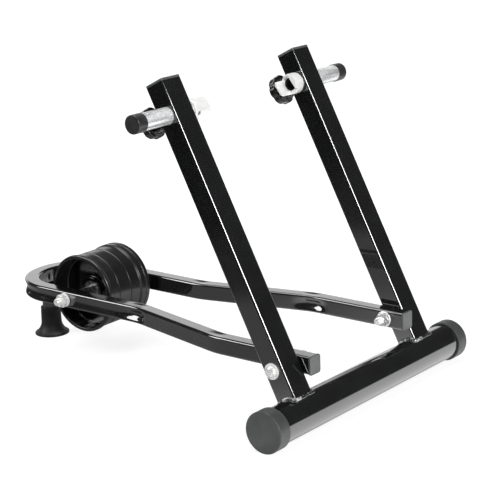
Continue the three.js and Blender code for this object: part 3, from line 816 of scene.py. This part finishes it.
def upright(name, side):
    top = UPRIGHT_REACH - UPRIGHT_CAP_THICK - GAP
    outer = slab(UPRIGHT_WIDTH, UPRIGHT_DEPTH, UPRIGHT_CORNER, [(0, 0), (top, 0)])
    hollow = slab(
        UPRIGHT_WIDTH - 2 * TUBE_WALL, UPRIGHT_DEPTH - 2 * TUBE_WALL, UPRIGHT_CORNER / 2,
        [(-UPRIGHT_REACH, 0), (2 * UPRIGHT_REACH, 0)],
    )
    pivot = leaning.inverted() @ PIVOT_AXIS
    at_clamp = Matrix.Translation((0, 0, CLAMP_REACH))
    at_pivot = Matrix.Translation((0, pivot.y, pivot.z))
    at_stud = Matrix.Translation((0, 0, CLAMP_REACH + KNOB_RAISE)) @ FORWARD
    reach = UPRIGHT_WIDTH
    cope = rod(-reach, reach, CROSS_RADIUS + GAP, CROSS_SIDES)
    clamp_bore = placed(rod(-reach, reach, CLAMP_RADIUS + SLIDE_GAP), at_clamp)
    pivot_bore = placed(rod(-reach, reach, PIVOT_BOLT_RADIUS + GAP), at_pivot)
    stud_bore = placed(rod(0, reach, STUD_RADIUS + SLIDE_GAP), at_stud)
    shape = cut(outer, hollow, cope, clamp_bore, pivot_bore, stud_bore)
    show(f"upright_{name}", shape, "stand", "gloss_black_paint", upright_place(side))


def upright_cap(name, side):
    low = UPRIGHT_REACH - UPRIGHT_CAP_THICK
    play = 2 * (TUBE_WALL + GAP)
    foot = low - UPRIGHT_PLUG_LENGTH
    rounded = edge_levels(low, UPRIGHT_REACH, 0.0008)
    flange = slab(UPRIGHT_WIDTH, UPRIGHT_DEPTH, UPRIGHT_CORNER, rounded)
    plug = slab(
        UPRIGHT_WIDTH - play, UPRIGHT_DEPTH - play, UPRIGHT_CORNER / 3,
        [(foot, 0.0008), (foot + 0.001, 0), (low + 0.0004, 0)],
    )
    # The cap gets the lighter, lit copy of the grey cap plastic: painted light.
    show(
        f"upright_cap_{name}", together(flange, plug), "stand", "grey_cap_plastic",
        upright_place(side), finish="lit_copy_cap_plastic",
    )


def weld_bead(name, side):
    """A rippled bead around the foot of an upright, seated on the cross tube."""
    random = np.random.default_rng(7 + side)
    outline = rounded_rectangle(
        UPRIGHT_WIDTH + 2 * WELD_OFFSET, UPRIGHT_DEPTH + 2 * WELD_OFFSET, UPRIGHT_CORNER, 34
    )
    path = [(x, y, math.sqrt(WELD_SEAT ** 2 - y ** 2)) for x, y in outline]
    lumps = running_mean(random.normal(0, 1, len(path)))
    travel = 0
    radii = []
    for i, point in enumerate(path):
        travel += (Vector(point) - Vector(path[i - 1])).length if i else 0
        ripple = abs(math.sin(math.pi * travel / WELD_RIPPLE))
        radii.append(WELD_RADIUS * (0.66 + 0.16 * ripple + 0.1 * lumps[i]))
    shape = rope(path, radii)
    show(f"weld_bead_{name}", shape, "stand", "painted_weld", upright_place(side), sharp=70)


cross_tube()
for name, side in SIDES:
    cross_tube_cap(name, side)
    upright(name, side)
    upright_cap(name, side)
    weld_bead(name, side)


# Axle clamps

def clamp_place(side):
    return leaning @ Matrix.Translation((0, 0, CLAMP_REACH)) @ on_side(side)


def clamp_tube(name, side):
    inner = CLAMP_RADIUS - CLAMP_WALL
    outline = [
        (CUP_SHOULDER, inner, 0.0004), (CUP_SHOULDER, CLAMP_RADIUS),
        (CLAMP_END, CLAMP_RADIUS, 0.0006), (CLAMP_END, inner),
    ]
    shape = turned(outline, looped=True)
    show(f"clamp_tube_{name}", shape, f"clamp_{name}", "galvanised_steel", clamp_place(side))


def clamp_tube_cap(name, side):
    bore = CLAMP_RADIUS + GAP
    mouth = CLAMP_CAP_FACE - CLAMP_CAP_LENGTH
    inside = CLAMP_CAP_FACE - CLAMP_CAP_THICK
    outline = [
        (mouth, bore), (mouth, CLAMP_CAP_RADIUS, 0.0003),
        (CLAMP_CAP_FACE, CLAMP_CAP_RADIUS, 0.0011), (CLAMP_CAP_FACE, 0),
        (inside, 0), (inside, bore),
    ]
    # The cap gets the lighter, rougher copy of the black plastic: its lighter colour is painted
    # light.
    show(
        f"clamp_tube_cap_{name}", turned(outline, looped=True), f"clamp_{name}", "black_plastic",
        clamp_place(side), finish="soft_lit_black_plastic",
    )


def at_grub(name):
    """Where a cup's grub screw sits, with its own axis pointing out of the cup."""
    along = Matrix.Translation((CUP_BASE - GRUB_SETBACK, 0, 0))
    around = Matrix.Rotation(GRUB_TURN[name], 4, "X")
    return along @ around @ Matrix.Rotation(math.pi / 2, 4, "Y")


def axle_cup(name, side):
    """A bored cup whose slot leaves a long and a short wing."""
    reach = CUP_BASE - CUP_FACE
    front = CUP_FACE - reach
    short_end = CUP_SHOULDER - CUP_SHORT_WING
    body = turned([
        (CUP_FACE, 0), (CUP_FACE, CUP_RADIUS, 0.0012), (CUP_BASE, CUP_RADIUS, 0.0012), (CUP_BASE, 0),
    ])
    bore = rod(CUP_SHOULDER - 0.0002, CUP_BASE + reach, CLAMP_RADIUS + GAP)
    slot = box_between((front, -CUP_SLOT_HALF, -reach), (CUP_SHOULDER, CUP_SLOT_HALF, reach))
    short = box_between((front, -reach, -reach), (short_end, 0, reach))
    flat = box_between((front, CUP_FLAT[name], -reach), (CUP_SHOULDER, reach, reach))
    cup = placed(cut(body, bore, slot, short, flat), Matrix.Rotation(CUP_TURN[name], 4, "X"))
    grub_bore = placed(rod(0, CUP_RADIUS * 2, GRUB_RADIUS + GAP, 36), at_grub(name))
    shape = cut(cup, grub_bore)
    show(f"axle_cup_{name}", shape, f"clamp_{name}", "bright_zinc", clamp_place(side), bevel=0.0004)


def grub_screw(name, side):
    top = CUP_RADIUS - GRUB_SOCKET_DEPTH / 4
    foot = top - GRUB_LENGTH
    body = turned([
        (foot, 0), (foot, GRUB_RADIUS, 0.0004), (top, GRUB_RADIUS, 0.0004), (top, 0),
    ], 48)
    socket = rod(top - GRUB_SOCKET_DEPTH, top + GRUB_SOCKET_DEPTH, GRUB_SOCKET_RADIUS, 6)
    shape = placed(cut(body, socket), at_grub(name))
    show(f"cup_grub_screw_{name}", shape, f"clamp_{name}", "plain_steel", clamp_place(side))


def knob_place(side):
    lift = Matrix.Translation((side * UPRIGHT_CENTRE, 0, CLAMP_REACH + KNOB_RAISE))
    return leaning @ lift @ FORWARD


def lobed(along, radius, lobes):
    """A ring with a share of the knob's notches: 0 is round, 1 is fully notched."""
    def radius_at(turn):
        notch = (0.5 - 0.5 * math.cos(turn * KNOB_LOBES)) ** 3
        return radius - lobes * KNOB_LOBE_DEPTH * notch

    return ring_of(along, KNOB_SIDES, radius_at)


def knob_hub():
    """The bored hub and the knob's hollow back. The last corner only aims the back face."""
    foot = KNOB_BACK - KNOB_HUB_LENGTH
    bore = STUD_RADIUS + GAP
    bottom = foot + KNOB_BORE_DEPTH
    hollow = KNOB_BACK + KNOB_THICK * 0.45
    rim = KNOB_RADIUS * 0.74
    outline = [
        (bottom, 0), (bottom, bore), (foot, bore), (foot, KNOB_HUB_RADIUS, 0.0008),
        (hollow, KNOB_HUB_RADIUS + 0.0006, 0.0016), (hollow, rim, 0.0016),
        (KNOB_BACK, rim, 0.0005), (KNOB_BACK, KNOB_RADIUS - 0.001),
    ]
    return [lobed(along, radius, 0) for along, radius in eased(outline)[:-1]]


def lock_knob(name, side):
    """A lobed knob with rounded edges and a slightly crowned front."""
    front = KNOB_BACK + KNOB_THICK
    rings = knob_hub()
    for inset, depth in quarter_round(KNOB_BACK_EDGE, 5):
        rings.append(lobed(KNOB_BACK + depth, KNOB_RADIUS - inset, 1))
    for depth, inset in quarter_round(KNOB_FRONT_EDGE, 6):
        rings.append(lobed(front - KNOB_CROWN - depth, KNOB_RADIUS - inset, 1))
    rings.append(lobed(front - 0.0003, KNOB_RADIUS * 0.62, 0.5))
    rings.append(lobed(front, KNOB_RADIUS * 0.3, 0))
    rings.append(lobed(front, 0, 0))
    shape = skin(rings, capped=False)
    show(f"lock_knob_{name}", shape, f"knob_{name}", "black_plastic", knob_place(side), sharp=50)


def lock_stud(name, side):
    tip = CLAMP_RADIUS + SLIDE_GAP
    head = KNOB_BACK - KNOB_HUB_LENGTH + KNOB_BORE_DEPTH - GAP
    shape = threaded(tip, head, STUD_RADIUS)
    show(f"lock_stud_{name}", shape, f"knob_{name}", "plain_steel", knob_place(side), sharp=60)


def clamp_nut(name, side):
    foot = UPRIGHT_DEPTH / 2 + GAP
    shape = hexagonal(foot, foot + CLAMP_NUT_HEIGHT, CLAMP_NUT_ACROSS, STUD_RADIUS + GAP)
    show(f"clamp_nut_{name}", shape, "stand", "gloss_black_paint", knob_place(side), sharp=25)


for name, side in SIDES:
    clamp_tube(name, side)
    clamp_tube_cap(name, side)
    axle_cup(name, side)
    grub_screw(name, side)
    lock_knob(name, side)
    lock_stud(name, side)
    clamp_nut(name, side)


# Leg frame

def straight(start, end, heading, step):
    """Stations along a straight length of leg."""
    count = max(2, round(math.dist(start, end) / step))
    stations = []
    for i in range(count):
        t = i / count
        x = start[0] + (end[0] - start[0]) * t
        y = start[1] + (end[1] - start[1]) * t
        stations.append((x, y, heading))
    return stations


def bend(tangent, inward, turns):
    """Stations on a bend that leaves or joins a straight leg at the tangent point."""
    stations = []
    for turn in turns:
        x = tangent[0] - inward * LEG_BEND_RADIUS * (1 - math.cos(turn))
        y = tangent[1] + inward * LEG_BEND_RADIUS * math.sin(turn)
        stations.append((x, y, turn))
    return stations


def leg_stations():
    """Places and headings along the right leg and half of the U-bend, from the rear end."""
    slant = math.atan2(LEG_WIDE - LEG_NARROW, LEG_FRONT_BEND - LEG_REAR_BEND)
    trim = LEG_BEND_RADIUS * math.tan(slant / 2)
    sideways = LEG_BEND_RADIUS * (1 - math.cos(slant))
    forward = LEG_BEND_RADIUS * math.sin(slant)
    rear = (LEG_WIDE, LEG_REAR_BEND - trim)
    front = (LEG_NARROW, LEG_FRONT_BEND + trim)
    slant_start = (LEG_WIDE - sideways, rear[1] + forward)
    slant_end = (LEG_NARROW + sideways, front[1] - forward)
    turning_in = [slant * i / LEG_BEND_STEPS for i in range(LEG_BEND_STEPS)]
    turning_back = [slant * (1 - i / LEG_BEND_STEPS) for i in range(LEG_BEND_STEPS)]
    stations = straight((LEG_WIDE, -LEG_OVERHANG), rear, 0, 0.004)
    stations += bend(rear, 1, turning_in)
    stations += straight(slant_start, slant_end, slant, 0.003)
    stations += bend(front, -1, turning_back)
    stations += straight(front, (LEG_NARROW, U_BEND_START), 0, 0.003)
    for turn in [math.pi / 2 * i / U_BEND_STEPS for i in range(U_BEND_STEPS + 1)]:
        x, y = LEG_NARROW * math.cos(turn), LEG_NARROW * math.sin(turn)
        stations.append((x, U_BEND_START + y, turn))
    return stations


def smooth_step(start, end, value):
    t = min(max((value - start) / (end - start), 0), 1)
    return t * t * (3 - 2 * t)


def dent(y, depth, start, full, fading, end):
    return depth * smooth_step(start, full, y) * (1 - smooth_step(fading, end, y))


def dents(y, turn):
    """How far the outer, inner and top walls are sunk at a station, in metres."""
    rounding = smooth_step(DRUM_REACH + 0.012, DRUM_REACH + 0.042, y)
    outer = U_BEND_DENT * rounding + dent(y, *OUTER_FRONT_DENT)
    outer += FRONT_FLAT_DENT * smooth_step(0.270, 0.300, y) * (1 - rounding)
    inner = dent(y, *INNER_REAR_DENT)
    top = dent(y, *TOP_REAR_DENT) + dent(y, *TOP_FRONT_DENT)
    if turn > 0 and y > U_BEND_START:
        inner += U_BEND_WRINKLE * math.sin(turn * 14) ** 2
    return outer, inner, top


def leg_ring(x, y, turn):
    """The leg tube's outline at a station, with its dents pressed in."""
    outer, inner, top = dents(y, turn)
    ring = []
    for across, up in rounded_rectangle(LEG_WIDTH, LEG_HEIGHT, LEG_CORNER, 12):
        off_side = abs(across) / (LEG_WIDTH / 2)
        off_level = abs(up) / (LEG_HEIGHT / 2)
        level = math.cos(min(off_level / 0.86, 1) * math.pi / 2) ** 2
        centre = math.cos(min(off_side, 1) * math.pi / 2) ** 2
        sunk = outer if across > 0 else inner
        shifted = across - math.copysign(sunk * level * smooth_step(0.45, 1, off_side), across)
        lowered = up - top * centre if up > 0 else up
        ring.append((x + shifted * math.cos(turn), y + shifted * math.sin(turn), lowered))
    return ring


def leg_frame():
    half = [leg_ring(*station) for station in leg_stations()]
    other = [[(-x, y, z) for x, y, z in ring] for ring in half[:-1]][::-1]
    reach = LEG_WIDE * 2
    at_axle = Matrix.Translation((0, DRUM_REACH, 0))
    pivot_bore = rod(-reach, reach, PIVOT_BOLT_RADIUS + GAP)
    axle_bore = placed(rod(-reach, reach, AXLE_RADIUS + GAP), at_axle)
    shape = cut(skin(half + other), pivot_bore, axle_bore)
    show("leg_frame", shape, "legs", "gloss_black_paint", along_legs, sharp=42)


def leg_cap(name, side):
    """A plug whose flange has a shallow dish in its face."""
    face = GAP + LEG_CAP_THICK
    levels = edge_levels(GAP, face, 0.0007)
    dish = [(face, 0.0024), (face - 0.0004, 0.0032)]
    flange = slab(
        LEG_WIDTH + 2 * LEG_CAP_LIP, LEG_HEIGHT + 2 * LEG_CAP_LIP, 0.0034, levels + dish
    )
    play = 2 * (LEG_PLUG_INSET + GAP)
    plug = slab(
        LEG_WIDTH - play, LEG_HEIGHT - play, 0.001,
        [(-LEG_PLUG_LENGTH, 0.0006), (-LEG_PLUG_LENGTH + 0.001, 0), (GAP + 0.0004, 0)],
    )
    back = Matrix.Translation((LEG_WIDE, -LEG_OVERHANG, 0)) @ Matrix.Rotation(math.pi / 2, 4, "X")
    shape = placed(together(flange, plug), back)
    place = along_legs @ on_side(side)
    # The cap gets the lighter, lit copy of the grey cap plastic: painted light.
    show(f"leg_cap_{name}", shape, "legs", "grey_cap_plastic", place, finish="lit_copy_cap_plastic")


leg_frame()
for name, side in SIDES:
    leg_cap(name, side)


# Pivot fasteners

def pivot_place(side):
    return Matrix.Translation(PIVOT_AXIS) @ on_side(side)


def pivot_bolt(name, side):
    """A bolt threaded inside the leg and plain through it, with a domed head."""
    low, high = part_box("pivot_bolt_right")
    foot = UPRIGHT_CENTRE - 0.001
    head = high.x - PIVOT_HEAD_HEIGHT
    thread = threaded(low.x, UPRIGHT_CENTRE, PIVOT_BOLT_RADIUS, (LEG_WIDE, UPRIGHT_CENTRE))
    dome = turned([
        (foot, 0), (foot, PIVOT_BOLT_RADIUS), (head, PIVOT_BOLT_RADIUS), (head, 0.007, 0.0004),
        (head + 0.0012, 0.0069, 0.001), (head + 0.0034, 0.0046, 0.0018),
        (high.x, 0.0021, 0.0008), (high.x, 0),
    ])
    show(
        f"pivot_bolt_{name}", together(thread, dome), "stand", "bright_zinc", pivot_place(side),
        sharp=50, finish="fastener_zinc",
    )


def washer(node, body, slot, place):
    """A washer or a spacer, as thick and as wide as its node."""
    low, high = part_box(node.replace("left", "right"))
    radius = (high.z - low.z) / 2
    bore = PIVOT_BOLT_RADIUS + GAP
    outline = [
        (low.x, bore), (low.x, radius, WASHER_EDGE), (high.x, radius, WASHER_EDGE),
        (high.x, bore, WASHER_EDGE),
    ]
    show(node, turned(outline, looped=True), body, slot, place)


def flange_nut(name, side):
    low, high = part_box("pivot_flange_nut_right")
    bore = PIVOT_BOLT_RADIUS + GAP
    back = high.x - FLANGE_THICK
    slope = high.x - 0.0024
    hexagon = hexagonal(low.x, back, FLANGE_NUT_ACROSS, bore)
    flange = turned([
        (slope, bore), (slope, 0.0072, 0.0006), (back, FLANGE_RADIUS, 0.0005),
        (high.x, FLANGE_RADIUS, 0.0004), (high.x, bore),
    ], looped=True)
    # The nut's finish paints shade on its hexagon.
    show(
        f"pivot_flange_nut_{name}", together(hexagon, flange), "stand", "bright_zinc",
        pivot_place(side), sharp=25, finish="nut_zinc_painted_shade",
    )


for name, side in SIDES:
    pivot_bolt(name, side)
    washer(f"pivot_washer_{name}", "stand", "bright_zinc", pivot_place(side))
    washer(f"pivot_spacer_{name}", "stand", "black_plastic", pivot_place(side))
    flange_nut(name, side)


# Roller drum and its axle

def drum_groove(place, radius, deep, wide):
    return [
        (place - wide, radius, 0.0003), (place - wide / 2, radius - deep, 0.0003),
        (place + wide / 2, radius - deep, 0.0003), (place + wide, radius, 0.0003),
    ]


def roller_drum():
    """One turned shell: a rim, the grooved body, the wide flange, the web and the hub."""
    outside = [
        (-DRUM_HALF, DRUM_INNER, 0.0014), (-DRUM_HALF, DRUM_RIM, 0.0034),
        (-DRUM_HALF + 0.0052, DRUM_RIM, 0.0009), (-DRUM_HALF + 0.0068, DRUM_BODY, 0.0012),
        *drum_groove(-0.46 * DRUM_HALF, DRUM_BODY, 0.0009, 0.0014),
        *drum_groove(0.1 * DRUM_HALF, DRUM_BODY, 0.0009, 0.0014),
        (DRUM_FLANGE_START - 0.0019, DRUM_BODY, 0.0012), (DRUM_FLANGE_START, DRUM_RIM, 0.0008),
        *drum_groove(0.8 * DRUM_HALF, DRUM_RIM, 0.0008, 0.0016),
        (DRUM_HALF, DRUM_RIM, 0.0018), (DRUM_HALF, DRUM_INNER, 0.0006),
    ]
    web_near = DRUM_WEB - DRUM_WEB_HALF
    web_far = DRUM_WEB + DRUM_WEB_HALF
    inside = [
        (web_far, DRUM_INNER, 0.003), (web_far, HUB_RADIUS, 0.0025), (HUB_HALF, HUB_RADIUS, 0.0008),
        (HUB_HALF, BEARING_RADIUS, 0.0004), (BEARING_POCKET, BEARING_RADIUS),
        (BEARING_POCKET, BEARING_SHOULDER), (-BEARING_POCKET, BEARING_SHOULDER),
        (-BEARING_POCKET, BEARING_RADIUS), (-HUB_HALF, BEARING_RADIUS, 0.0004),
        (-HUB_HALF, HUB_RADIUS, 0.0008), (web_near, HUB_RADIUS, 0.0025),
        (web_near, DRUM_INNER, 0.003),
    ]
    shape = turned(outside + inside, DRUM_SIDES, looped=True, steps=4)
    show("roller_drum", shape, "roller", "satin_black_drum", at_drum, sharp=35)


def roller_axle():
    end = size("roller_axle").x / 2
    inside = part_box("axle_washer_right")[0].x
    shape = threaded(-end, end, AXLE_RADIUS, (-inside, inside))
    show("roller_axle", shape, "legs", "bright_zinc", at_drum, sharp=60, finish="fastener_zinc")


def axle_nut(name, side):
    low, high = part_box("axle_nut_right")
    shape = hexagonal(low.x, high.x, AXLE_NUT_ACROSS, AXLE_RADIUS + GAP)
    place = at_drum @ on_side(side)
    show(f"axle_nut_{name}", shape, "legs", "bright_zinc", place, sharp=25, finish="fastener_zinc")


roller_drum()
roller_axle()
for name, side in SIDES:
    washer(f"axle_washer_{name}", "legs", "bright_zinc", at_drum @ on_side(side))
    washer(f"axle_spacer_{name}", "legs", "plain_steel", at_drum @ on_side(side))
    axle_nut(name, side)


# Front foot

def foot_post():
    low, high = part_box("foot_post")
    inner = POST_RADIUS - POST_WALL
    outline = [
        (low.z, inner), (low.z, POST_RADIUS, 0.0006), (high.z, POST_RADIUS), (high.z, inner),
    ]
    show("foot_post", turned(outline, looped=True), "legs", "gloss_black_paint", at_foot)


def foot_post_weld():
    random = np.random.default_rng(3)
    lumps = running_mean(random.normal(0, 1, POST_WELD_POINTS))
    reach = POST_RADIUS + 0.0004
    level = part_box("foot_post_weld")[1].z - POST_WELD_RADIUS
    path, radii = [], []
    for i in range(POST_WELD_POINTS):
        turn = 2 * math.pi * i / POST_WELD_POINTS
        ripple = abs(math.sin(turn * 13))
        path.append((reach * math.cos(turn), reach * math.sin(turn), level))
        radii.append(POST_WELD_RADIUS * (0.75 + 0.15 * ripple + 0.12 * lumps[i]))
    place = Matrix.Translation(FOOT_AXIS)
    show("foot_post_weld", rope(path, radii), "legs", "painted_weld", place, sharp=70)


def foot_pad():
    """A bell-shaped rubber foot, bored for the post."""
    bore = POST_RADIUS + GAP
    outline = [
        (0, 0), (0, PAD_RADIUS - 0.001), (0.0003, PAD_RADIUS, 0.0006), (0.0028, PAD_RADIUS, 0.0012),
        (0.0034, PAD_RADIUS - 0.0016), (0.0062, PAD_RADIUS - 0.0052, 0.002),
        (0.0135, PAD_NECK + 0.0006, 0.005), (PAD_HEIGHT - 0.002, PAD_NECK - 0.0001, 0.0004),
        (PAD_HEIGHT, PAD_NECK, 0.0009), (PAD_HEIGHT, bore, 0.0005),
        (PAD_FLOOR, bore), (PAD_FLOOR, 0),
    ]
    show("foot_pad", turned(outline, steps=6), "legs", "black_rubber", at_foot)


foot_post()
foot_post_weld()
foot_pad()


# Studio

CAMERA_PLACE = Vector((-1.606166, -1.378312, 0.723945))
CAMERA_YAW = 0.8976163
CAMERA_PITCH = 0.2628188
CAMERA_ROLL = -0.0409550
CAMERA_LENS = 120.69
FLOOR_HALF = 9.0
PAPER_EDGE_FACING = (-0.55, 0.83, 0)
PAPER_EDGE = 0.435
PALE_BAND_FACING = (0.78, 0.62, 0)


def camera():
    yaw = Matrix.Rotation(-CAMERA_YAW, 4, "Z")
    pitch = Matrix.Rotation(math.pi / 2 - CAMERA_PITCH, 4, "X")
    roll = Matrix.Rotation(CAMERA_ROLL, 4, "Z")
    data = bpy.data.cameras.new("camera")
    data.lens = CAMERA_LENS
    data.sensor_width = 36
    data.clip_end = 50
    holder = in_scene("camera", data)
    holder.matrix_world = Matrix.Translation(CAMERA_PLACE) @ yaw @ pitch @ roll
    bpy.context.scene.camera = holder


def area_light(name, place, target, width, height, watts, seen=True):
    data = bpy.data.lights.new(name, "AREA")
    data.shape = "RECTANGLE"
    data.size = width
    data.size_y = height
    data.energy = watts
    holder = in_scene(name, data)
    holder.visible_camera = seen
    heading = Vector(target) - Vector(place)
    aim = heading.to_track_quat("-Z", "Y").to_matrix().to_4x4()
    holder.matrix_world = Matrix.Translation(place) @ aim


def mirrored_brightness(wiring, place):
    """How bright the glossy paint sees the paper: dimmer far away, and a painted shadow under the
    cross tube.
    """
    aside = wiring.dot(place, PAPER_EDGE_FACING)
    dim = wiring.softly(aside, -0.25, 0.15, 1.0, 0.3)
    edge = wiring.softly(aside, PAPER_EDGE - 0.08, PAPER_EDGE + 0.07, 1.0, 0.35)
    far = wiring.softly(wiring.length(place), 0.75, 1.1, 1.0, 0.3)
    forward = wiring.dot(place, (0, 1, 0))
    # Painted shadow: in a band under the cross tube the paper's glow is dimmed to a quarter.
    behind = wiring.softly(forward, CROSS_AXIS.y - 0.024, CROSS_AXIS.y - 0.010, 1, 0)
    ahead = wiring.softly(forward, CROSS_AXIS.y + 0.006, CROSS_AXIS.y + 0.030, 0, 1)
    painted_tube_shadow = wiring.softly(wiring.maths("ADD", behind, ahead), 0, 1, 0.25, 1)
    paper = wiring.maths("MULTIPLY", wiring.maths("MULTIPLY", dim, edge), far)
    return wiring.maths("MULTIPLY", paper, painted_tube_shadow)


def floor_material():
    """Paper that is white to the camera, pale to bounced light and darker in the paint, with a
    painted shadow under the cross tube there.
    """
    material = bpy.data.materials.new("floor_paper")
    material.use_nodes = True
    wiring = Wiring(material.node_tree)
    wiring.tree.nodes.remove(wiring.tree.nodes["Principled BSDF"])
    place = wiring.add("ShaderNodeTexCoord").outputs["Object"]
    bright = mirrored_brightness(wiring, place)
    shaded = wiring.diffuse(wiring.softly(bright, 0, 1, 0, 0.4))
    mirrored_paper = wiring.added_shaders(wiring.glow(grey(0.5), bright), shaded)
    whiter = wiring.softly(wiring.length(place), 0.45, 1.0, 0.80, 1.0)
    seen_paper = wiring.added_shaders(wiring.diffuse(grey(0.32)), wiring.glow(grey(1), whiter))
    ray = wiring.add("ShaderNodeLightPath").outputs
    unseen = wiring.mixed_shaders(ray["Is Glossy Ray"], wiring.diffuse(grey(0.8)), mirrored_paper)
    surface = wiring.mixed_shaders(ray["Is Camera Ray"], unseen, seen_paper)
    wiring.link(surface, wiring.tree.nodes["Material Output"].inputs["Surface"])
    return material


def floor():
    low, high = -FLOOR_HALF, FLOOR_HALF
    corners = [(low, low, 0), (high, low, 0), (high, high, 0), (low, high, 0)]
    mesh = bpy.data.meshes.new("floor")
    mesh.from_pydata(corners, [], [(0, 1, 2, 3)])
    mesh.materials.append(floor_material())
    holder = in_scene("floor", mesh)


def world():
    """White to the camera. Other rays see it dark, with one pale band low beyond the trainer."""
    surroundings = bpy.data.worlds.new("studio")
    bpy.context.scene.world = surroundings
    surroundings.use_nodes = True
    wiring = Wiring(surroundings.node_tree)
    direction = wiring.add("ShaderNodeTexCoord").outputs["Generated"]
    facing = wiring.dot(direction, PALE_BAND_FACING)
    rising = wiring.dot(direction, (0, 0, 1))
    beyond = wiring.softly(facing, 0.55, 0.72, 0.0, 1.0)
    low = wiring.softly(rising, 0.31, 0.42, 1.0, 0.0)
    mirrored = wiring.softly(wiring.maths("MULTIPLY", beyond, low), 0, 1, 0.05, 1.0)
    camera_ray = wiring.add("ShaderNodeLightPath").outputs["Is Camera Ray"]
    background = wiring.tree.nodes["Background"]
    background.inputs["Color"].default_value = grey(1)
    wiring.link(wiring.mixed_value(camera_ray, mirrored, 1.0), background.inputs["Strength"])


camera()
floor()
world()
area_light("overhead", (0.1, 0.2, 1.9), (0, 0, 0), 1.5, 1.3, 22)
area_light("by_camera", (-1.53, -2.79, 1.66), (0, -0.1, 0.2), 0.35, 1.0, 40)
area_light("rear_fill", (-0.7, -2.5, 1.3), (0, 0, 0.2), 1.2, 1.2, 44)
area_light("high_left", (-1.2, 1.4, 1.3), (0, 0.1, 0.1), 0.8, 1.3, 20)
area_light("low_panel", (0.12, -0.58, 0.001), (0.12, -0.58, 1), 0.96, 0.74, 0.9, seen=False)

bpy.context.scene.view_settings.view_transform = "Standard"
